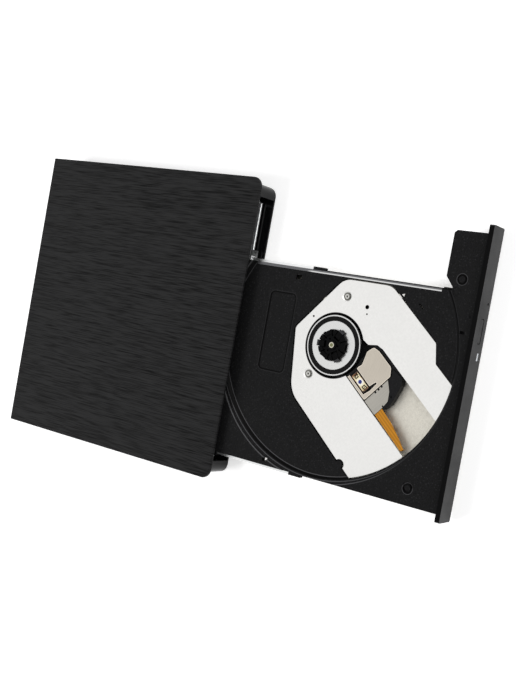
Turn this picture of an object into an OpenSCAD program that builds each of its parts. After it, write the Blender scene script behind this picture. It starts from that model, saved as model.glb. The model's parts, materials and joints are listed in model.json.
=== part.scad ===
// Slim external disc drive lying on its feet, front towards -Y, with its tray fully out.
// The origin is on the table under the middle of the open drive.

/* [Disc] */
// Diameter of the disc that the drive takes
disc_d = 120; // [119:0.5:121]
// Gap between the disc and the wall of its recess
disc_gap = 0.4; // [0.3:0.1:0.6]

/* [Case] */
// Width of the solid cheeks beside the drive bay
cheek_w = 6.6; // [6.4:0.1:8]
// Gap between the chassis and each side of the bay
bay_side = 1.4; // [1.2:0.1:1.8]
// Gap between the chassis and the cover
cover_gap = 1.5; // [1.3:0.1:2]
// Room behind the chassis for the bridge board
rear_room = 10.2; // [9.8:0.1:12]
// How far the cover overhangs each side of the shell
side_overhang = 2.5; // [0:0.1:2.8]
// How far the cover overhangs the back of the shell
back_overhang = 0.8; // [0:0.1:1.2]
// Thickness of the top cover
cover_t = 1.5; // [1:0.1:2.5]
// Radius along the top edge of the cover
cover_edge_r = 0.8; // [0.3:0.1:0.9]
// Thickness of the shell floor
floor_t = 1; // [0.9:0.1:1.6]
// Thickness of the shell side and back walls
wall_t = 2; // [1.4:0.1:2.2]
// Radius of the front corners in plan
front_r = 5; // [3:0.5:5.5]
// Radius of the back corners in plan
back_r = 1.2; // [0.6:0.1:3]
// Radius along the lower side edges of the shell
shell_edge_r = 1.6; // [0.5:0.1:2]
// Length of the solid cheeks that hold the case screws
cheek_d = 9; // [8.5:0.5:12]

/* [Feet and screws] */
// Radius of a rubber foot
foot_r = 5; // [3:0.5:7]
// Height of a foot below the shell
foot_h = 0.7; // [0.5:0.1:1.5]
// Depth of the seat that a foot is glued into
foot_seat = 0.3; // [0.1:0.05:0.4]
// Distance of a foot centre from the shell side
foot_side = 13; // [11.5:0.5:20]
// Distance of a foot centre from the shell front or back
foot_end = 9; // [8:0.5:16]
// Radius of the case screw shanks
case_screw_r = 0.8; // [0.6:0.05:1]
// Radius of the case screw heads
case_head_r = 1.6; // [1.3:0.1:1.8]
// Depth of the case screw heads
case_head_h = 0.7; // [0.5:0.1:0.9]
// Radius of the posts under the cover that take the case screws
post_r = 2.1; // [1.6:0.1:2.3]

/* [Drive chassis] */
// Height of the pads that the chassis rests on
pad_h = 1; // [0.8:0.1:1.2]
// Thickness of the chassis sheet steel
sheet_t = 0.5; // [0.4:0.05:0.6]
// Distance of the chassis pan behind the case front
pan_setback = 5.6; // [5.2:0.1:7]
// Distance of the chassis lid behind the case front
lid_setback = 3.5; // [3:0.1:6]
// Radius of the rolled edge along the pan's front
hem_r = 0.55; // [0.45:0.05:0.6]
// Room behind the shut tray
tray_stop = 2.5; // [2:0.1:4]
// Depth of the lid side flanges
lid_flange = 3; // [2:0.5:5]
// Radius of the lid screw shanks
lid_screw_r = 0.7; // [0.5:0.05:0.8]

/* [Tray] */
// Height of the tray above the chassis pan
tray_lift = 0.4; // [0.35:0.05:0.6]
// Height inside the tray for the mechanism
mech_h = 4; // [3.9:0.1:4.4]
// Length of the tray that stays in the case when it is out
tray_hold = 6.9; // [6:0.1:14]
// Width of the tray's rim to the left of the recess
tray_rim = 0.2; // [0.2:0.05:0.6]
// Depth of the tray's deck in front of the recess
front_deck = 7.8; // [7.4:0.1:9]
// How far the recess runs out over the back of the tray
back_open = 1.1; // [0.8:0.1:3]
// Width of the tray strip between the mechanism plate and the runner
mech_side = 2; // [1.8:0.1:3]
// Gap between the lid and the tray rim
rim_gap = 1.1; // [1:0.1:1.2]
// Depth of the disc recess below the tray rim
recess_depth = 1.8; // [1.6:0.1:1.9]
// Outward slope of the recess wall
recess_slope = 1.7; // [1.4:0.1:1.8]
// Thickness of the recess floor
skin_t = 0.8; // [0.6:0.1:0.9]
// Thickness of the tray's lower walls
tray_wall = 1.4; // [1:0.1:1.4]
// Thickness of the steel plate under the tray
under_plate_t = 0.4; // [0.3:0.05:0.5]
// Distance of the wing's end from the inside of the chassis
wing_side = 2.6; // [2.2:0.1:5]
// Distance from the tray's right edge to the wing's inner corner
wing_gap = 5.8; // [5.6:0.1:8]
// Distance from the bezel front to the back of the wing
wing_back = 18.6; // [17:0.2:18.8]
// Distance from the bezel front to where the wing meets the tray
wing_root = 14.9; // [13:0.1:16]
// Cut across the wing's outer corner
wing_cut = 1.2; // [0.5:0.1:2]
// Cut across the tray's back left corner
tray_cut = 4; // [2:0.5:6]
// Thickness of the wing
wing_t = 1.7; // [1.4:0.1:1.9]

/* [Bezel] */
// Thickness of the bezel front
bezel_t = 1.1; // [0.9:0.1:1.2]
// Depth of the bezel with its back rim
bezel_d = 2.2; // [2:0.1:2.3]
// Distance from the bezel front to the pieces behind it
front_in = 3; // [2.8:0.1:3.1]
// Gap between the bezel and the edge of the tray's deck
deck_gap = 0.2; // [0.2:0.05:0.3]
// How much narrower the bezel is than the chassis on each side
bezel_side = 0.05; // [0:0.05:0.6]
// Thickness of the bezel's back rim
bezel_rim = 0.8; // [0.6:0.1:1.1]
// Width of the eject button
button_w = 10.4; // [8:0.1:11]
// Height of the eject button
button_h = 2.8; // [2.2:0.1:3]
// Centre of the eject button to the right of the middle
button_x = 19; // [17:0.5:20]
// Centre of the eject button above the bezel's lower edge
button_z = 5.2; // [5:0.1:5.4]
// Travel of the eject button
button_travel = 0.6; // [0.4:0.1:0.7]
// Width of the light window
led_w = 3.4; // [2:0.1:4]
// Height of the light window
led_h = 1.5; // [1:0.1:1.8]
// Centre of the light window to the right of the middle
led_x = 8; // [7:0.5:9]
// Centre of the light window above the bezel's lower edge
led_z = 3.7; // [3.4:0.1:4]
// Radius of the emergency release hole
pinhole_r = 0.6; // [0.4:0.05:0.8]
// Centre of the emergency release hole to the right of the middle
pinhole_x = 31; // [29:0.5:34]

/* [Rails] */
// Room behind a shut rail
rail_stop = 1.1; // [0.8:0.1:6]
// Distance of the shut left rail's front behind the case front
left_setback = 20.6; // [18:0.1:24]
// Distance of the shut right rail's front behind the case front
right_setback = 27.1; // [25:0.1:28]
// Length of the plastic cap on a rail's front end
rail_cap = 6.5; // [4:0.5:8]
// Height of the tray ribs that run in the rails
rib_h = 1; // [0.8:0.1:1.2]
// Reach of the tray ribs out of the tray
rib_reach = 0.7; // [0.6:0.05:0.75]
// Width of the runner's bright strip along the tray's right edge
strip_w = 1.1; // [0.8:0.05:1.2]
// Thickness of the runner's steel
strip_t = 0.15; // [0.1:0.05:0.15]
// Thickness of the rail steel
rail_t = 0.45; // [0.4:0.05:0.5]
// Running clearance of the rails
rail_gap = 0.3; // [0.25:0.05:0.35]
// Play of the tray ribs in the rails
rib_slack = 0.1; // [0.05:0.05:0.15]
// Thickness of the left guide behind its rail
guide_web = 0.25; // [0.2:0.05:0.5]
// Width of the right guide's foot
guide_foot = 3.6; // [2:0.1:4.5]
// Room behind the rail guides
guide_stop = 6.5; // [5:0.5:20]
// Distance of the rail guides behind the case front
guide_setback = 2.8; // [2.7:0.1:6]

/* [Mechanism] */
// Centre of the disc to the right of the middle
hub_x = 1.4; // [1.3:0.05:1.5]
// Angle between the pickup's travel and straight out of the drive
sled_slant = 40; // [39:0.5:41]
// Thickness of the mechanism plate
plate_t = 0.4; // [0.3:0.05:0.5]
// How far the mechanism plate lies below the recess floor
plate_drop = 0.4; // [0.3:0.05:0.5]
// Gap between the mechanism plate and the tray
plate_gap = 0.5; // [0.4:0.05:0.6]
// How far the plate's round front edge lies outside the recess
plate_over = 0.5; // [0.1:0.1:0.6]
// Distance from the disc axis to the plate's back edge
plate_back = 20.6; // [20:0.1:21]
// Distance from the disc axis to the plate's left edge
plate_left = 31.5; // [31:0.1:32]
// Distance from the disc axis to the plate's long right edge
plate_right = 39; // [38.5:0.1:39.2]
// Distance from the disc axis to the plate's outer right edge
plate_right_end = 33.2; // [32.5:0.1:34]
// Distance from the disc axis to the plate's side by the runner
plate_side = 31; // [30:0.1:31.1]
// Gap between the turntable and its hole in the plate
hole_gap = 1.1; // [0.9:0.05:1.4]
// How far the pickup slot reaches in under the turntable's rim
slot_in = 0.4; // [0.2:0.1:0.8]
// Distance from the disc axis to the left side of the pickup slot
slot_left = 4.2; // [4:0.1:4.6]
// Distance from the disc axis to the right side of the pickup slot
slot_right = 17.8; // [17.4:0.1:18.4]

/* [Turntable] */
// Radius of the turntable
table_r = 14; // [13.6:0.1:14.2]
// Width of the turntable's rim outside the friction ring
ring_in = 0.6; // [0.5:0.05:1]
// Width of the rubber friction ring
ring_w = 2.1; // [1.6:0.1:2.4]
// Height of the disc seat above the recess floor
seat_lift = 1; // [0.8:0.1:1.1]
// Radius of the clamp hub
clamp_r = 7.35; // [7.2:0.05:7.4]
// Height of the clamp hub above the disc seat
clamp_h = 1.5; // [1.3:0.1:1.55]
// Number of spring claws
claws = 3; // [3:1:3]
// Width of a claw
claw_w = 2.8; // [2.2:0.1:3]
// How far a claw stands out of the hub
claw_out = 0.85; // [0.6:0.05:0.9]
// Inward travel of a claw
claw_travel = 0.7; // [0.5:0.05:0.75]
// Radius of the spindle shaft
shaft_r = 1.3; // [1:0.05:1.4]
// Radial clearance of shafts and rods in their bearings
bearing_gap = 0.03; // [0.02:0.01:0.06]

/* [Pickup] */
// Travel of the pickup away from the disc axis
sled_travel = 36; // [34:0.5:36]
// Distance of the lens from the disc axis
lens_s = 21.7; // [21.4:0.1:22]
// Radius of the lens
lens_r = 1.3; // [1:0.1:1.5]
// Length of the lens holder
holder_l = 10; // [9:0.1:10.2]
// Width of the lens holder
holder_w = 3.8; // [3.4:0.1:4.2]
// Focus travel of the lens each way
focus_travel = 0.4; // [0.2:0.05:0.45]
// Gap around the lens holder
holder_gap = 0.5; // [0.4:0.05:0.6]
// Radius of the guide rods
rod_r = 1; // [0.9:0.05:1]
// Distance from the disc axis to the main guide rod
rod_left = 7; // [6.9:0.05:7.1]
// Distance from the disc axis to the second guide rod
rod_right = 21; // [20.8:0.1:21.2]
// Distance from the disc axis to the lead screw
screw_left = 14; // [13.8:0.1:14.2]
// Radius of the lead screw
screw_r = 0.9; // [0.8:0.05:0.95]
// Radius of the feed motor
feed_r = 2.4; // [2:0.1:2.4]
// Gap between the feed motor and the tray's left wall
feed_side = 1.86; // [1.2:0.02:2.4]
// Length of the feed motor
feed_l = 9; // [7:0.5:9]

/* [Release latch] */
// Distance of the latch pivot from the tray's right edge
latch_out = 10.6; // [10:0.1:11.5]
// Distance from the bezel front to the latch pivot
latch_u = 9.6; // [9.4:0.1:9.8]
// Length of the latch from its pivot to its claw
latch_reach = 6.8; // [6.4:0.1:7]
// Length of the latch arm that the solenoid pulls
latch_arm = 4; // [3.8:0.1:4.2]
// Thickness of the latch claw
latch_tip = 0.8; // [0.6:0.1:1]
// Radius of the post that the claw catches
latch_post_r = 0.6; // [0.5:0.05:0.7]

/* [Electronics] */
// Thickness of the circuit boards
board_t = 0.8; // [0.6:0.1:1]
// Gap between the right guide's foot and the main board
main_gap = 2.15; // [1.2:0.05:3]
// Distance of the main board behind the case front
main_front = 24; // [22:0.5:28]
// Distance of the main board in front of the chassis back
main_stop = 9; // [8:0.5:12]
// Width of the tray ribbon
ribbon_w = 13; // [8:0.5:16]
// How far the ribbon reaches forward under the open tray
ribbon_lap = 12.9; // [10:0.1:14]
// Width of the USB socket shell
usb_w = 8.94; // [8.5:0.02:9.2]
// Height of the USB socket shell
usb_h = 3.26; // [3:0.02:3.4]
// Wall of the USB socket shell
usb_wall = 0.3; // [0.2:0.05:0.35]
// Length of the USB socket shell
usb_l = 7; // [6:0.1:7.3]
// Centre of the USB socket to the right of the middle
usb_x = 28; // [26:0.5:32]

/* [Hidden] */
$fn = 64;
fuse = 0.2;
past = 1;
clear = 0.3;
// Across the drive, from the disc outwards
recess_r = disc_d/2 + disc_gap;
plate_r = recess_r + plate_over;
tray_left = recess_r + recess_slope + tray_rim - hub_x;
tray_right = hub_x + plate_side + mech_side;
rail_outer = rail_gap + rib_reach + rib_slack + rail_t;
pan_in = tray_left + rail_outer + rail_gap + guide_web;
pan_half = pan_in + sheet_t;
drive_w = 2*(pan_half + sheet_t);
bay_w = drive_w + 2*bay_side;
body_w = bay_w + 2*cheek_w;
case_w = body_w + 2*side_overhang;
wing_right = pan_in - wing_side;
wing_inner = tray_right + wing_gap;
bezel_w = drive_w - 2*bezel_side;
latch_x = tray_right + latch_out;
main_left = tray_right + rail_outer + rail_gap + guide_foot + main_gap;
main_w = pan_in - 0.6 - main_left;
// From front to back
hub_setback = recess_r + front_deck;
tray_back = hub_setback + recess_r - back_open;
tray_travel = tray_back - tray_hold;
pan_end = tray_back + tray_stop;
back_in = pan_end + rear_room;
body_d = back_in + wall_t;
case_d = body_d + back_overhang;
front_y = -(case_d - tray_travel)/2;
rail_end_y = pan_end - sheet_t - rail_stop;
guide_end = pan_end - guide_stop;
left_rib = left_setback - rail_cap - clear;
right_rib = right_setback - rail_cap - clear;
main_l = pan_end - main_stop - main_front;
// From the table up
floor_z = foot_h + floor_t;
pan_z = floor_z + pad_h;
pan_top = pan_z + sheet_t;
tray_z = pan_top + tray_lift;
tray_floor = tray_z + under_plate_t;
plate_z = tray_floor + mech_h;
plate_top = plate_z + plate_t;
recess_z = plate_top + plate_drop;
rim_z = recess_z + recess_depth;
lid_z = rim_z + rim_gap;
lid_top = lid_z + sheet_t;
cover_z = lid_top + cover_gap;
skin_z = recess_z - skin_t;
wing_z = rim_z - wing_t;
pocket_z = plate_top + 0.6;
seat_z = recess_z + seat_lift;
clamp_top = seat_z + clamp_h;
deck_front = bezel_d + deck_gap;
bezel_z = floor_z + clear;
bezel_h = cover_z - floor_z - 2*clear;
post_x = bay_w/2 + post_r + clear + 0.4;
post_front = cheek_d/2 + 0.3;
post_back = back_in - cheek_d/2 + 0.3;
post_z = floor_z + 2.5;
rail_ratio = 0.5;
sled_turn = 270 - sled_slant;
// The rails share one height, and each guide wraps its rail
rail_mid = tray_floor + 2.4;
rail_in = rib_h/2 + rail_gap;
rail_out = rail_in + rail_t;
guide_in = rail_out + rail_gap;
guide_out = guide_in + rail_t;
base_z = tray_floor + 0.9;
base_t = 0.6;
base_top = base_z + base_t;
rod_z = tray_floor + 2.1;
screw_z = tray_floor + 2.5;
sled_z = tray_floor + 0.6;
sled_top = plate_z - clear;
ring_r = table_r - ring_in;
plate_hole_r = table_r + hole_gap;
slot_start = table_r - slot_in;
window_start = slot_start - 0.4;
rod_start = window_start - 2.8;
window_left = screw_left + 3.5;
window_right = rod_right + 2.5;
bridge_z = floor_z + 2.1;
bridge_top = bridge_z + board_t;
main_z = pan_top + 0.6;
main_top = main_z + board_t;
plug_z = max(main_top, bridge_top);
button_mid = bezel_z + button_z;
claw_floor = seat_z + 0.1;
claw_gap = 0.25;
claw_start = clamp_r - 3.2;
holder_z = sled_z + 2.1;
// The feed motor ends just inside the tray's left wall
feed_out = (screw_left + feed_r)*cos(sled_slant);
feed_start = (hub_x + tray_left - tray_wall - feed_side - feed_out)/sin(sled_slant) - feed_l;
bracket_end = feed_start - 0.8;
second_end = plate_r - 0.7;
sled_step = plate_top - 0.2;
sled_left = slot_left - 0.6;
sled_start = slot_start + 0.6;
sled_end = slot_start + 23.9;
pocket_end = max(sled_end + sled_travel + 2, feed_start + feed_l + clear);
cover_end = slot_start + 15.8;
cover_right = slot_right - 1.9;
eye_start = slot_start + 2;
eye_end = eye_start + 9.8;
// Corners of the pickup's upper cover, [along the sled, across it, radius]
cover_pts = [
    [sled_start, -sled_left, 0.6],
    [cover_end, -sled_left, 0.8],
    [cover_end, cover_right - 2.9, 1.2],
    [cover_end - 2.9, cover_right, 2],
    [slot_start + 3.6, cover_right, 1.5],
    [slot_start + 0.3, cover_right - 0.9, 1.6],
    [slot_start - 0.3, cover_right - 4.7, 0.8],
    [slot_start + 2.6, cover_right - 10.4, 1]
];
// Outer end of the pickup, which carries its side frame
end_pts = [
    [sled_end + 1.3, 1.3],
    [sled_end + 1.6, 5.2],
    [sled_end + 0.9, 7.9],
    [sled_end - 1.5, slot_right - 3.4],
    [sled_end - 3.7, slot_right - 0.8]
];
// Chips on the main board, [across, share of its length, width, depth, height]
main_chips = [
    [2.4, 0.1, 12, 12, 1.2],
    [3.4, 0.31, 12, 14, 1.4],
    [9.4, 0.52, 8, 5, 1],
    [3.4, 0.62, 7, 12, 1.1],
    [12.4, 0.64, 5, 5, 1.8],
    [4.4, 0.8, 4, 4, 0.9]
];
// Corners of the mechanism plate, [along the sled, across it, radius]
plate_pts = [
    [-plate_back, side_t(-plate_back), 8],
    [-plate_back, -plate_left/3, 3],
    [plate_back*0.07, -plate_left, 14],
    [plate_r + 14, -plate_left, 0],
    [plate_r + 14, plate_right_end, 0],
    [plate_right, plate_right_end, 1.5],
    [plate_right*0.82, plate_right, 1.5],
    [side_s(plate_right), plate_right, 8]
];
// Pickup slot of the plate, which opens into the turntable hole
slot_pts = [
    [plate_hole_r*0.4, -slot_left],
    [plate_r + 14, -slot_left],
    [plate_r + 14, slot_right],
    [slot_start + 3.9, slot_right],
    [slot_start + 0.6, slot_right - 0.9],
    [slot_start - 2.5, slot_right - 4.3],
    [plate_hole_r*0.4, slot_right - 5]
];
// Corners of the tray in plan, counter-clockwise
tray_pts = [
    [-tray_left, deck_front],
    [tray_right, deck_front],
    [tray_right, tray_back],
    [-tray_left + tray_cut, tray_back],
    [-tray_left, tray_back - tray_cut]
];
wing_pts = [
    [tray_right - 4, deck_front],
    [wing_right, deck_front],
    [wing_right, wing_back - wing_cut],
    [wing_right - wing_cut, wing_back],
    [wing_inner, wing_back],
    [wing_inner - 4.4, wing_root],
    [tray_right - 4, wing_root]
];
// Damper centres and mechanism screws, [along the sled, across it]
damper_out = 4.6;
dampers = [
    [8, -plate_left - damper_out],
    [-plate_back - damper_out, 5],
    [plate_r*0.55, -plate_left - damper_out],
    [28, plate_right + damper_out]
];
mech_screws = [[-13.5, 19], [1.2, -19]];
plate_bite = [44.3, -plate_left - 0.4];
latch_z = tray_floor + 1.6;
latch_mid = latch_z + 0.5;
post_u = latch_u + latch_reach - clear - latch_post_r;

// Where the plate's straight side by the runner crosses a line along or across the sled
function side_t(s) = (plate_side + s*sin(sled_slant))/cos(sled_slant);
function side_s(t) = (t*cos(sled_slant) - plate_side)/sin(sled_slant);

function unit(v) = v/norm(v);
function flat(p) = [p[0], p[1]];

// Arc that rounds the corner b of the path a, b, c
function corner_arc(a, b, c, r, steps = 8) =
    let (u = unit(a - b), v = unit(c - b), half = acos(u*v)/2)
    let (centre = b + unit(u + v)*r/sin(half), start = b + u*r/tan(half) - centre)
    let (sweep = (180 - 2*half)*sign(cross(b - a, c - b)))
    [for (k = [0:steps]) let (q = sweep*k/steps)
        centre + [start.x*cos(q) - start.y*sin(q), start.x*sin(q) + start.y*cos(q)]];

// Outline with each corner [x, y, r] rounded
function rounded(p) = [
    for (i = [0:len(p) - 1])
        let (a = flat(p[(i + len(p) - 1)%len(p)]), b = flat(p[i]), c = flat(p[(i + 1)%len(p)]))
        each p[i][2] > 0 ? corner_arc(a, b, c, p[i][2]) : [b]
];

// Counter-clockwise outline grown outwards by d, with its corner radii grown too
function grown(p, d) = [
    for (i = [0:len(p) - 1])
        let (a = flat(p[(i + len(p) - 1)%len(p)]), b = flat(p[i]), c = flat(p[(i + 1)%len(p)]))
        let (e = unit(b - a), f = unit(c - b), m = [e.y, -e.x], n = [f.y, -f.x])
        let (r = is_undef(p[i][2]) ? 0 : p[i][2])
        concat(b + (m + n)*d/(1 + m*n), [r > 0 ? max(0.3, r + d) : 0])
];

module at_case() { translate([0, front_y, 0]) children(); }
module on_rail() { translate([0, front_y - tray_travel*rail_ratio, 0]) children(); }
module on_tray() { translate([0, front_y - tray_travel, 0]) children(); }
module at_hub() { on_tray() translate([hub_x, hub_setback, 0]) children(); }
// Local +X runs out along the sled's travel, and +Y to its right
module on_sled() { at_hub() rotate([0, 0, sled_turn]) children(); }
module mirrored() { for (side = [0, 1]) mirror([side, 0, 0]) children(); }

// Box between two corners
module block(a, b) { translate(a) cube(b - a); }

// Rounded slab between two plan corners, its bottom at z
module slab(a, b, z, h, r) {
    translate([0, 0, z]) linear_extrude(h) {
        translate([a.x + r, a.y]) square([b.x - a.x - 2*r, b.y - a.y]);
        translate([a.x, a.y + r]) square([b.x - a.x, b.y - a.y - 2*r]);
        for (x = [a.x + r, b.x - r], y = [a.y + r, b.y - r]) translate([x, y]) circle(r);
    }
}

// Profile in X and Z run along Y
module along_y(y0, y1) { translate([0, y1, 0]) rotate([90, 0, 0]) linear_extrude(y1 - y0) children(); }
// Rod along the sled's travel
module along_sled(s0, s1, t, z, r) {
    translate([s0, t, z]) rotate([0, 90, 0]) cylinder(r = r, h = s1 - s0);
}

// Plan of the case with round front and back corners
module case_plan(w, d) {
    translate([-w/2, front_r]) square([w, d - front_r - back_r]);
    translate([-w/2 + front_r, 0]) square([w - 2*front_r, d/2]);
    translate([-w/2 + back_r, d/2]) square([w - 2*back_r, d/2]);
    for (x = [-1, 1]) {
        translate([x*(w/2 - front_r), front_r]) circle(front_r);
        translate([x*(w/2 - back_r), d - back_r]) circle(back_r);
    }
}

// Section with its two upper corners rounded
module eased(w, h, r) {
    translate([-w/2, 0]) square([w, h - r]);
    translate([-w/2 + r, 0]) square([w - 2*r, h]);
    for (x = [-1, 1]) translate([x*(w/2 - r), h - r]) circle(r);
}

module at_posts() {
    for (x = [-post_x, post_x], y = [post_front, post_back]) translate([x, y, 0]) children();
}

module at_feet() {
    for (x = [-1, 1], y = [foot_end, body_d - foot_end])
        translate([x*(body_w/2 - foot_side), y, 0]) children();
}

module top_cover() {
    color("#2b2b2c") at_case() difference() {
        union() {
            intersection() {
                translate([0, 0, cover_z]) linear_extrude(cover_t) case_plan(case_w, case_d);
                translate([0, -past, cover_z])
                    along_y(0, case_d + 2*past) eased(case_w, cover_t, cover_edge_r);
                translate([-case_w/2 - past, case_d/2, cover_z]) rotate([90, 0, 90])
                    linear_extrude(case_w + 2*past) eased(case_d, cover_t, cover_edge_r);
            }
            // Ribs that hold the drive down
            for (y = [pan_end*0.25, pan_end*0.75])
                block([-drive_w*0.4, y - 0.6, lid_top], [drive_w*0.4, y + 0.6, cover_z + fuse]);
            at_posts() translate([0, 0, post_z]) cylinder(r = post_r, h = cover_z + fuse - post_z);
        }
        at_posts() translate([0, 0, post_z - past])
            cylinder(r = case_screw_r + bearing_gap, h = past + 7);
    }
}

module base_shell() {
    color("#141416") at_case() difference() {
        union() {
            difference() {
                intersection() {
                    translate([0, 0, foot_h]) linear_extrude(cover_z - foot_h) case_plan(body_w, body_d);
                    translate([0, 0, cover_z]) mirror([0, 0, 1])
                        along_y(-past, body_d + past) eased(body_w, cover_z - foot_h, shell_edge_r);
                }
                block([-bay_w/2, -past, floor_z], [bay_w/2, back_in, cover_z + past]);
                mirrored() block([bay_w/2 - past, cheek_d, floor_z],
                                 [body_w/2 - wall_t, back_in - cheek_d, cover_z + past]);
            }
            // Pads under the chassis and posts under the bridge board
            for (x = [-1, 1], y = [pan_end*0.12, pan_end*0.9])
                translate([x*drive_w*0.42, y, floor_z - fuse]) cylinder(r = 4, h = pad_h + fuse);
            for (x = [usb_x - 4.4, bay_w/2 - 4])
                block([x - 2, back_in - 5, floor_z - fuse], [x + 2, back_in + fuse, bridge_z]);
            // Side ribs that centre the chassis
            mirrored() for (y = [pan_end*0.3, pan_end*0.6])
                block([drive_w/2 + 0.2, y - 0.8, floor_z - fuse],
                      [body_w/2 - wall_t + fuse, y + 0.8, lid_z - 1]);
        }
        at_posts() {
            translate([0, 0, post_z]) cylinder(r = post_r + clear, h = cover_z);
            translate([0, 0, foot_h - past]) cylinder(r = case_screw_r + clear, h = cover_z);
            translate([0, 0, foot_h - past])
                cylinder(r = case_head_r + clear, h = past + case_head_h + clear);
        }
        // Bare recess for a label
        slab([-case_w*0.24, body_d*0.36], [case_w*0.24, body_d*0.68], foot_h - past, past + 0.2, 2);
        at_feet() translate([0, 0, foot_h - past]) cylinder(r = foot_r + 0.1, h = past + foot_seat);
        at_usb_centre() along_y(back_in - past, body_d + past)
            pill(usb_w + 2*clear, usb_h + 2*clear, (usb_h + 2*clear)*0.45);
    }
}

module rubber_feet() {
    color("#1d1d1d") at_case() at_feet() rotate_extrude() polygon([
        [0, 0], [foot_r - foot_h*0.4, 0], [foot_r, foot_h*0.5],
        [foot_r, foot_h + foot_seat], [0, foot_h + foot_seat]
    ]);
}

module case_screws() {
    color("#8d8f92") at_case() at_posts() translate([0, 0, foot_h + clear]) difference() {
        union() {
            cylinder(r = case_head_r, h = case_head_h);
            cylinder(r = case_screw_r, h = post_z + 5 - foot_h - clear);
        }
        cross_recess(case_head_r, 0);
    }
}

// Cross for a driver, cut around the height z of a screw's head
module cross_recess(head_r, z) {
    for (q = [0, 90]) rotate([0, 0, q])
        block([-head_r*0.6, -head_r*0.14, z - 0.3], [head_r*0.6, head_r*0.14, z + 0.3]);
}

module chassis_pan() {
    plug_in = drive_plug_x();
    color("#b9bcbe") at_case() difference() {
        union() {
            block([-pan_half, pan_setback, pan_z], [pan_half, pan_end, pan_top]);
            mirrored() block([pan_in, pan_setback, pan_z], [pan_half, pan_end, lid_z]);
            block([-pan_half, pan_end - sheet_t, pan_z], [pan_half, pan_end, lid_z]);
            // Rolled front edge beside the right guide
            translate([wing_inner, pan_setback + hem_r - 0.1, pan_z + hem_r + 0.05]) rotate([0, 90, 0])
                cylinder(r = hem_r, h = pan_half - 0.2 - wing_inner);
            at_lid_screws() block([-3, -2.5, lid_z - sheet_t], [3, 2.5, lid_z]);
            at_board_posts() translate([0, 0, pan_top - fuse])
                cylinder(r = 1.6, h = main_z - pan_top + fuse);
        }
        at_lid_screws() translate([0, 0, lid_z - past])
            cylinder(r = lid_screw_r + bearing_gap, h = 2*past);
        block([plug_in[0] - clear, pan_end - past, main_z],
              [plug_in[1] + clear, pan_end + past, plug_z + 4]);
    }
}

function drive_plug_x() = [main_left - 0.5, pan_in - 0.8];
module at_lid_screws() {
    for (x = [-1, 1], y = [pan_setback + 5, pan_end - 5]) translate([x*(pan_in - 2.8), y, 0]) children();
}
module at_board_posts() {
    for (x = [main_left + 3, pan_in - 3.5], y = [main_front + 4, main_front + main_l - 9])
        translate([x, y, 0]) children();
}

module chassis_lid() {
    color("#c4c6c7") at_case() difference() {
        union() {
            block([-drive_w/2, lid_setback, lid_z], [drive_w/2, pan_end + sheet_t, lid_top]);
            mirrored() block([pan_half, lid_setback, lid_z - lid_flange],
                             [drive_w/2, pan_end + sheet_t, lid_top]);
        }
        at_lid_screws() translate([0, 0, lid_z - past])
            cylinder(r = lid_screw_r + bearing_gap, h = 3*past);
    }
}

module chassis_screws() {
    color("#8d8f92") at_case() at_lid_screws() difference() {
        union() {
            translate([0, 0, lid_z - sheet_t]) cylinder(r = lid_screw_r, h = 2*sheet_t + 0.3);
            translate([0, 0, lid_top]) cylinder(r = lid_screw_r*2, h = 0.4);
        }
        cross_recess(lid_screw_r*2, lid_top + 0.4);
    }
}

// C section that opens to the left, around x0, with its web outside
module c_section(x0, inner, outer, reach, web) {
    polygon([
        [x0, rail_mid - outer], [x0 + reach + web, rail_mid - outer],
        [x0 + reach + web, rail_mid + outer], [x0, rail_mid + outer],
        [x0, rail_mid + inner], [x0 + reach, rail_mid + inner],
        [x0 + reach, rail_mid - inner], [x0, rail_mid - inner]
    ]);
}

module rail_profile(web = rail_t) { c_section(rail_gap, rail_in, rail_out, rib_reach + rib_slack, web); }

// The guide's flanges reach over the rail, and its web lies behind it
module guide_profile(web) { c_section(rail_gap + 0.1, guide_in, guide_out, rail_outer - 0.1, web); }

module left_guide() {
    color("#26272a") at_case() translate([-tray_left, 0, 0]) mirror([1, 0, 0])
        along_y(guide_setback, guide_end) guide_profile(guide_web);
}

module right_guide() {
    web = rail_outer + rail_gap;
    color("#c9cbcc") at_case() translate([tray_right, 0, 0]) {
        along_y(guide_setback, guide_end) guide_profile(sheet_t);
        block([web, guide_setback, pan_top], [web + sheet_t, guide_end, rail_mid]);
        block([web, guide_setback, pan_top], [web + guide_foot, guide_end, pan_top + sheet_t]);
    }
}

module rail_bar(front) { along_y(front, rail_end_y) rail_profile(); }
module rail_end(front) { along_y(front - rail_cap, front) rail_profile(rail_t + 0.15); }

module at_left_rail() { on_rail() translate([-tray_left, 0, 0]) mirror([1, 0, 0]) children(); }
module at_right_rail() { on_rail() translate([tray_right, 0, 0]) children(); }
module left_rail() { color("#d4d6d6") at_left_rail() rail_bar(left_setback); }
module left_rail_cap() { color("#1c1c1e") at_left_rail() rail_end(left_setback); }
module right_rail() { color("#d4d6d6") at_right_rail() rail_bar(right_setback); }
module right_rail_cap() { color("#1c1c1e") at_right_rail() rail_end(right_setback); }

module latch_post() {
    color("#b9bcbe") at_case() translate([latch_x + 1.5, post_u, pan_top]) {
        cylinder(r = latch_post_r, h = latch_z + 1.4 - pan_top);
        cylinder(r = 1.8, h = 0.5);
    }
}

module at_main_board() { at_case() translate([main_left, main_front, main_z]) children(); }

module main_board() {
    color("#1f5a38") at_main_board() cube([main_w, main_l, board_t]);
}

module main_board_chips() {
    color("#1b1b1d") at_main_board() for (c = main_chips)
        translate([c[0] - 1, c[1]*main_l, board_t]) cube([c[2], c[3], c[4]]);
}

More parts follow.
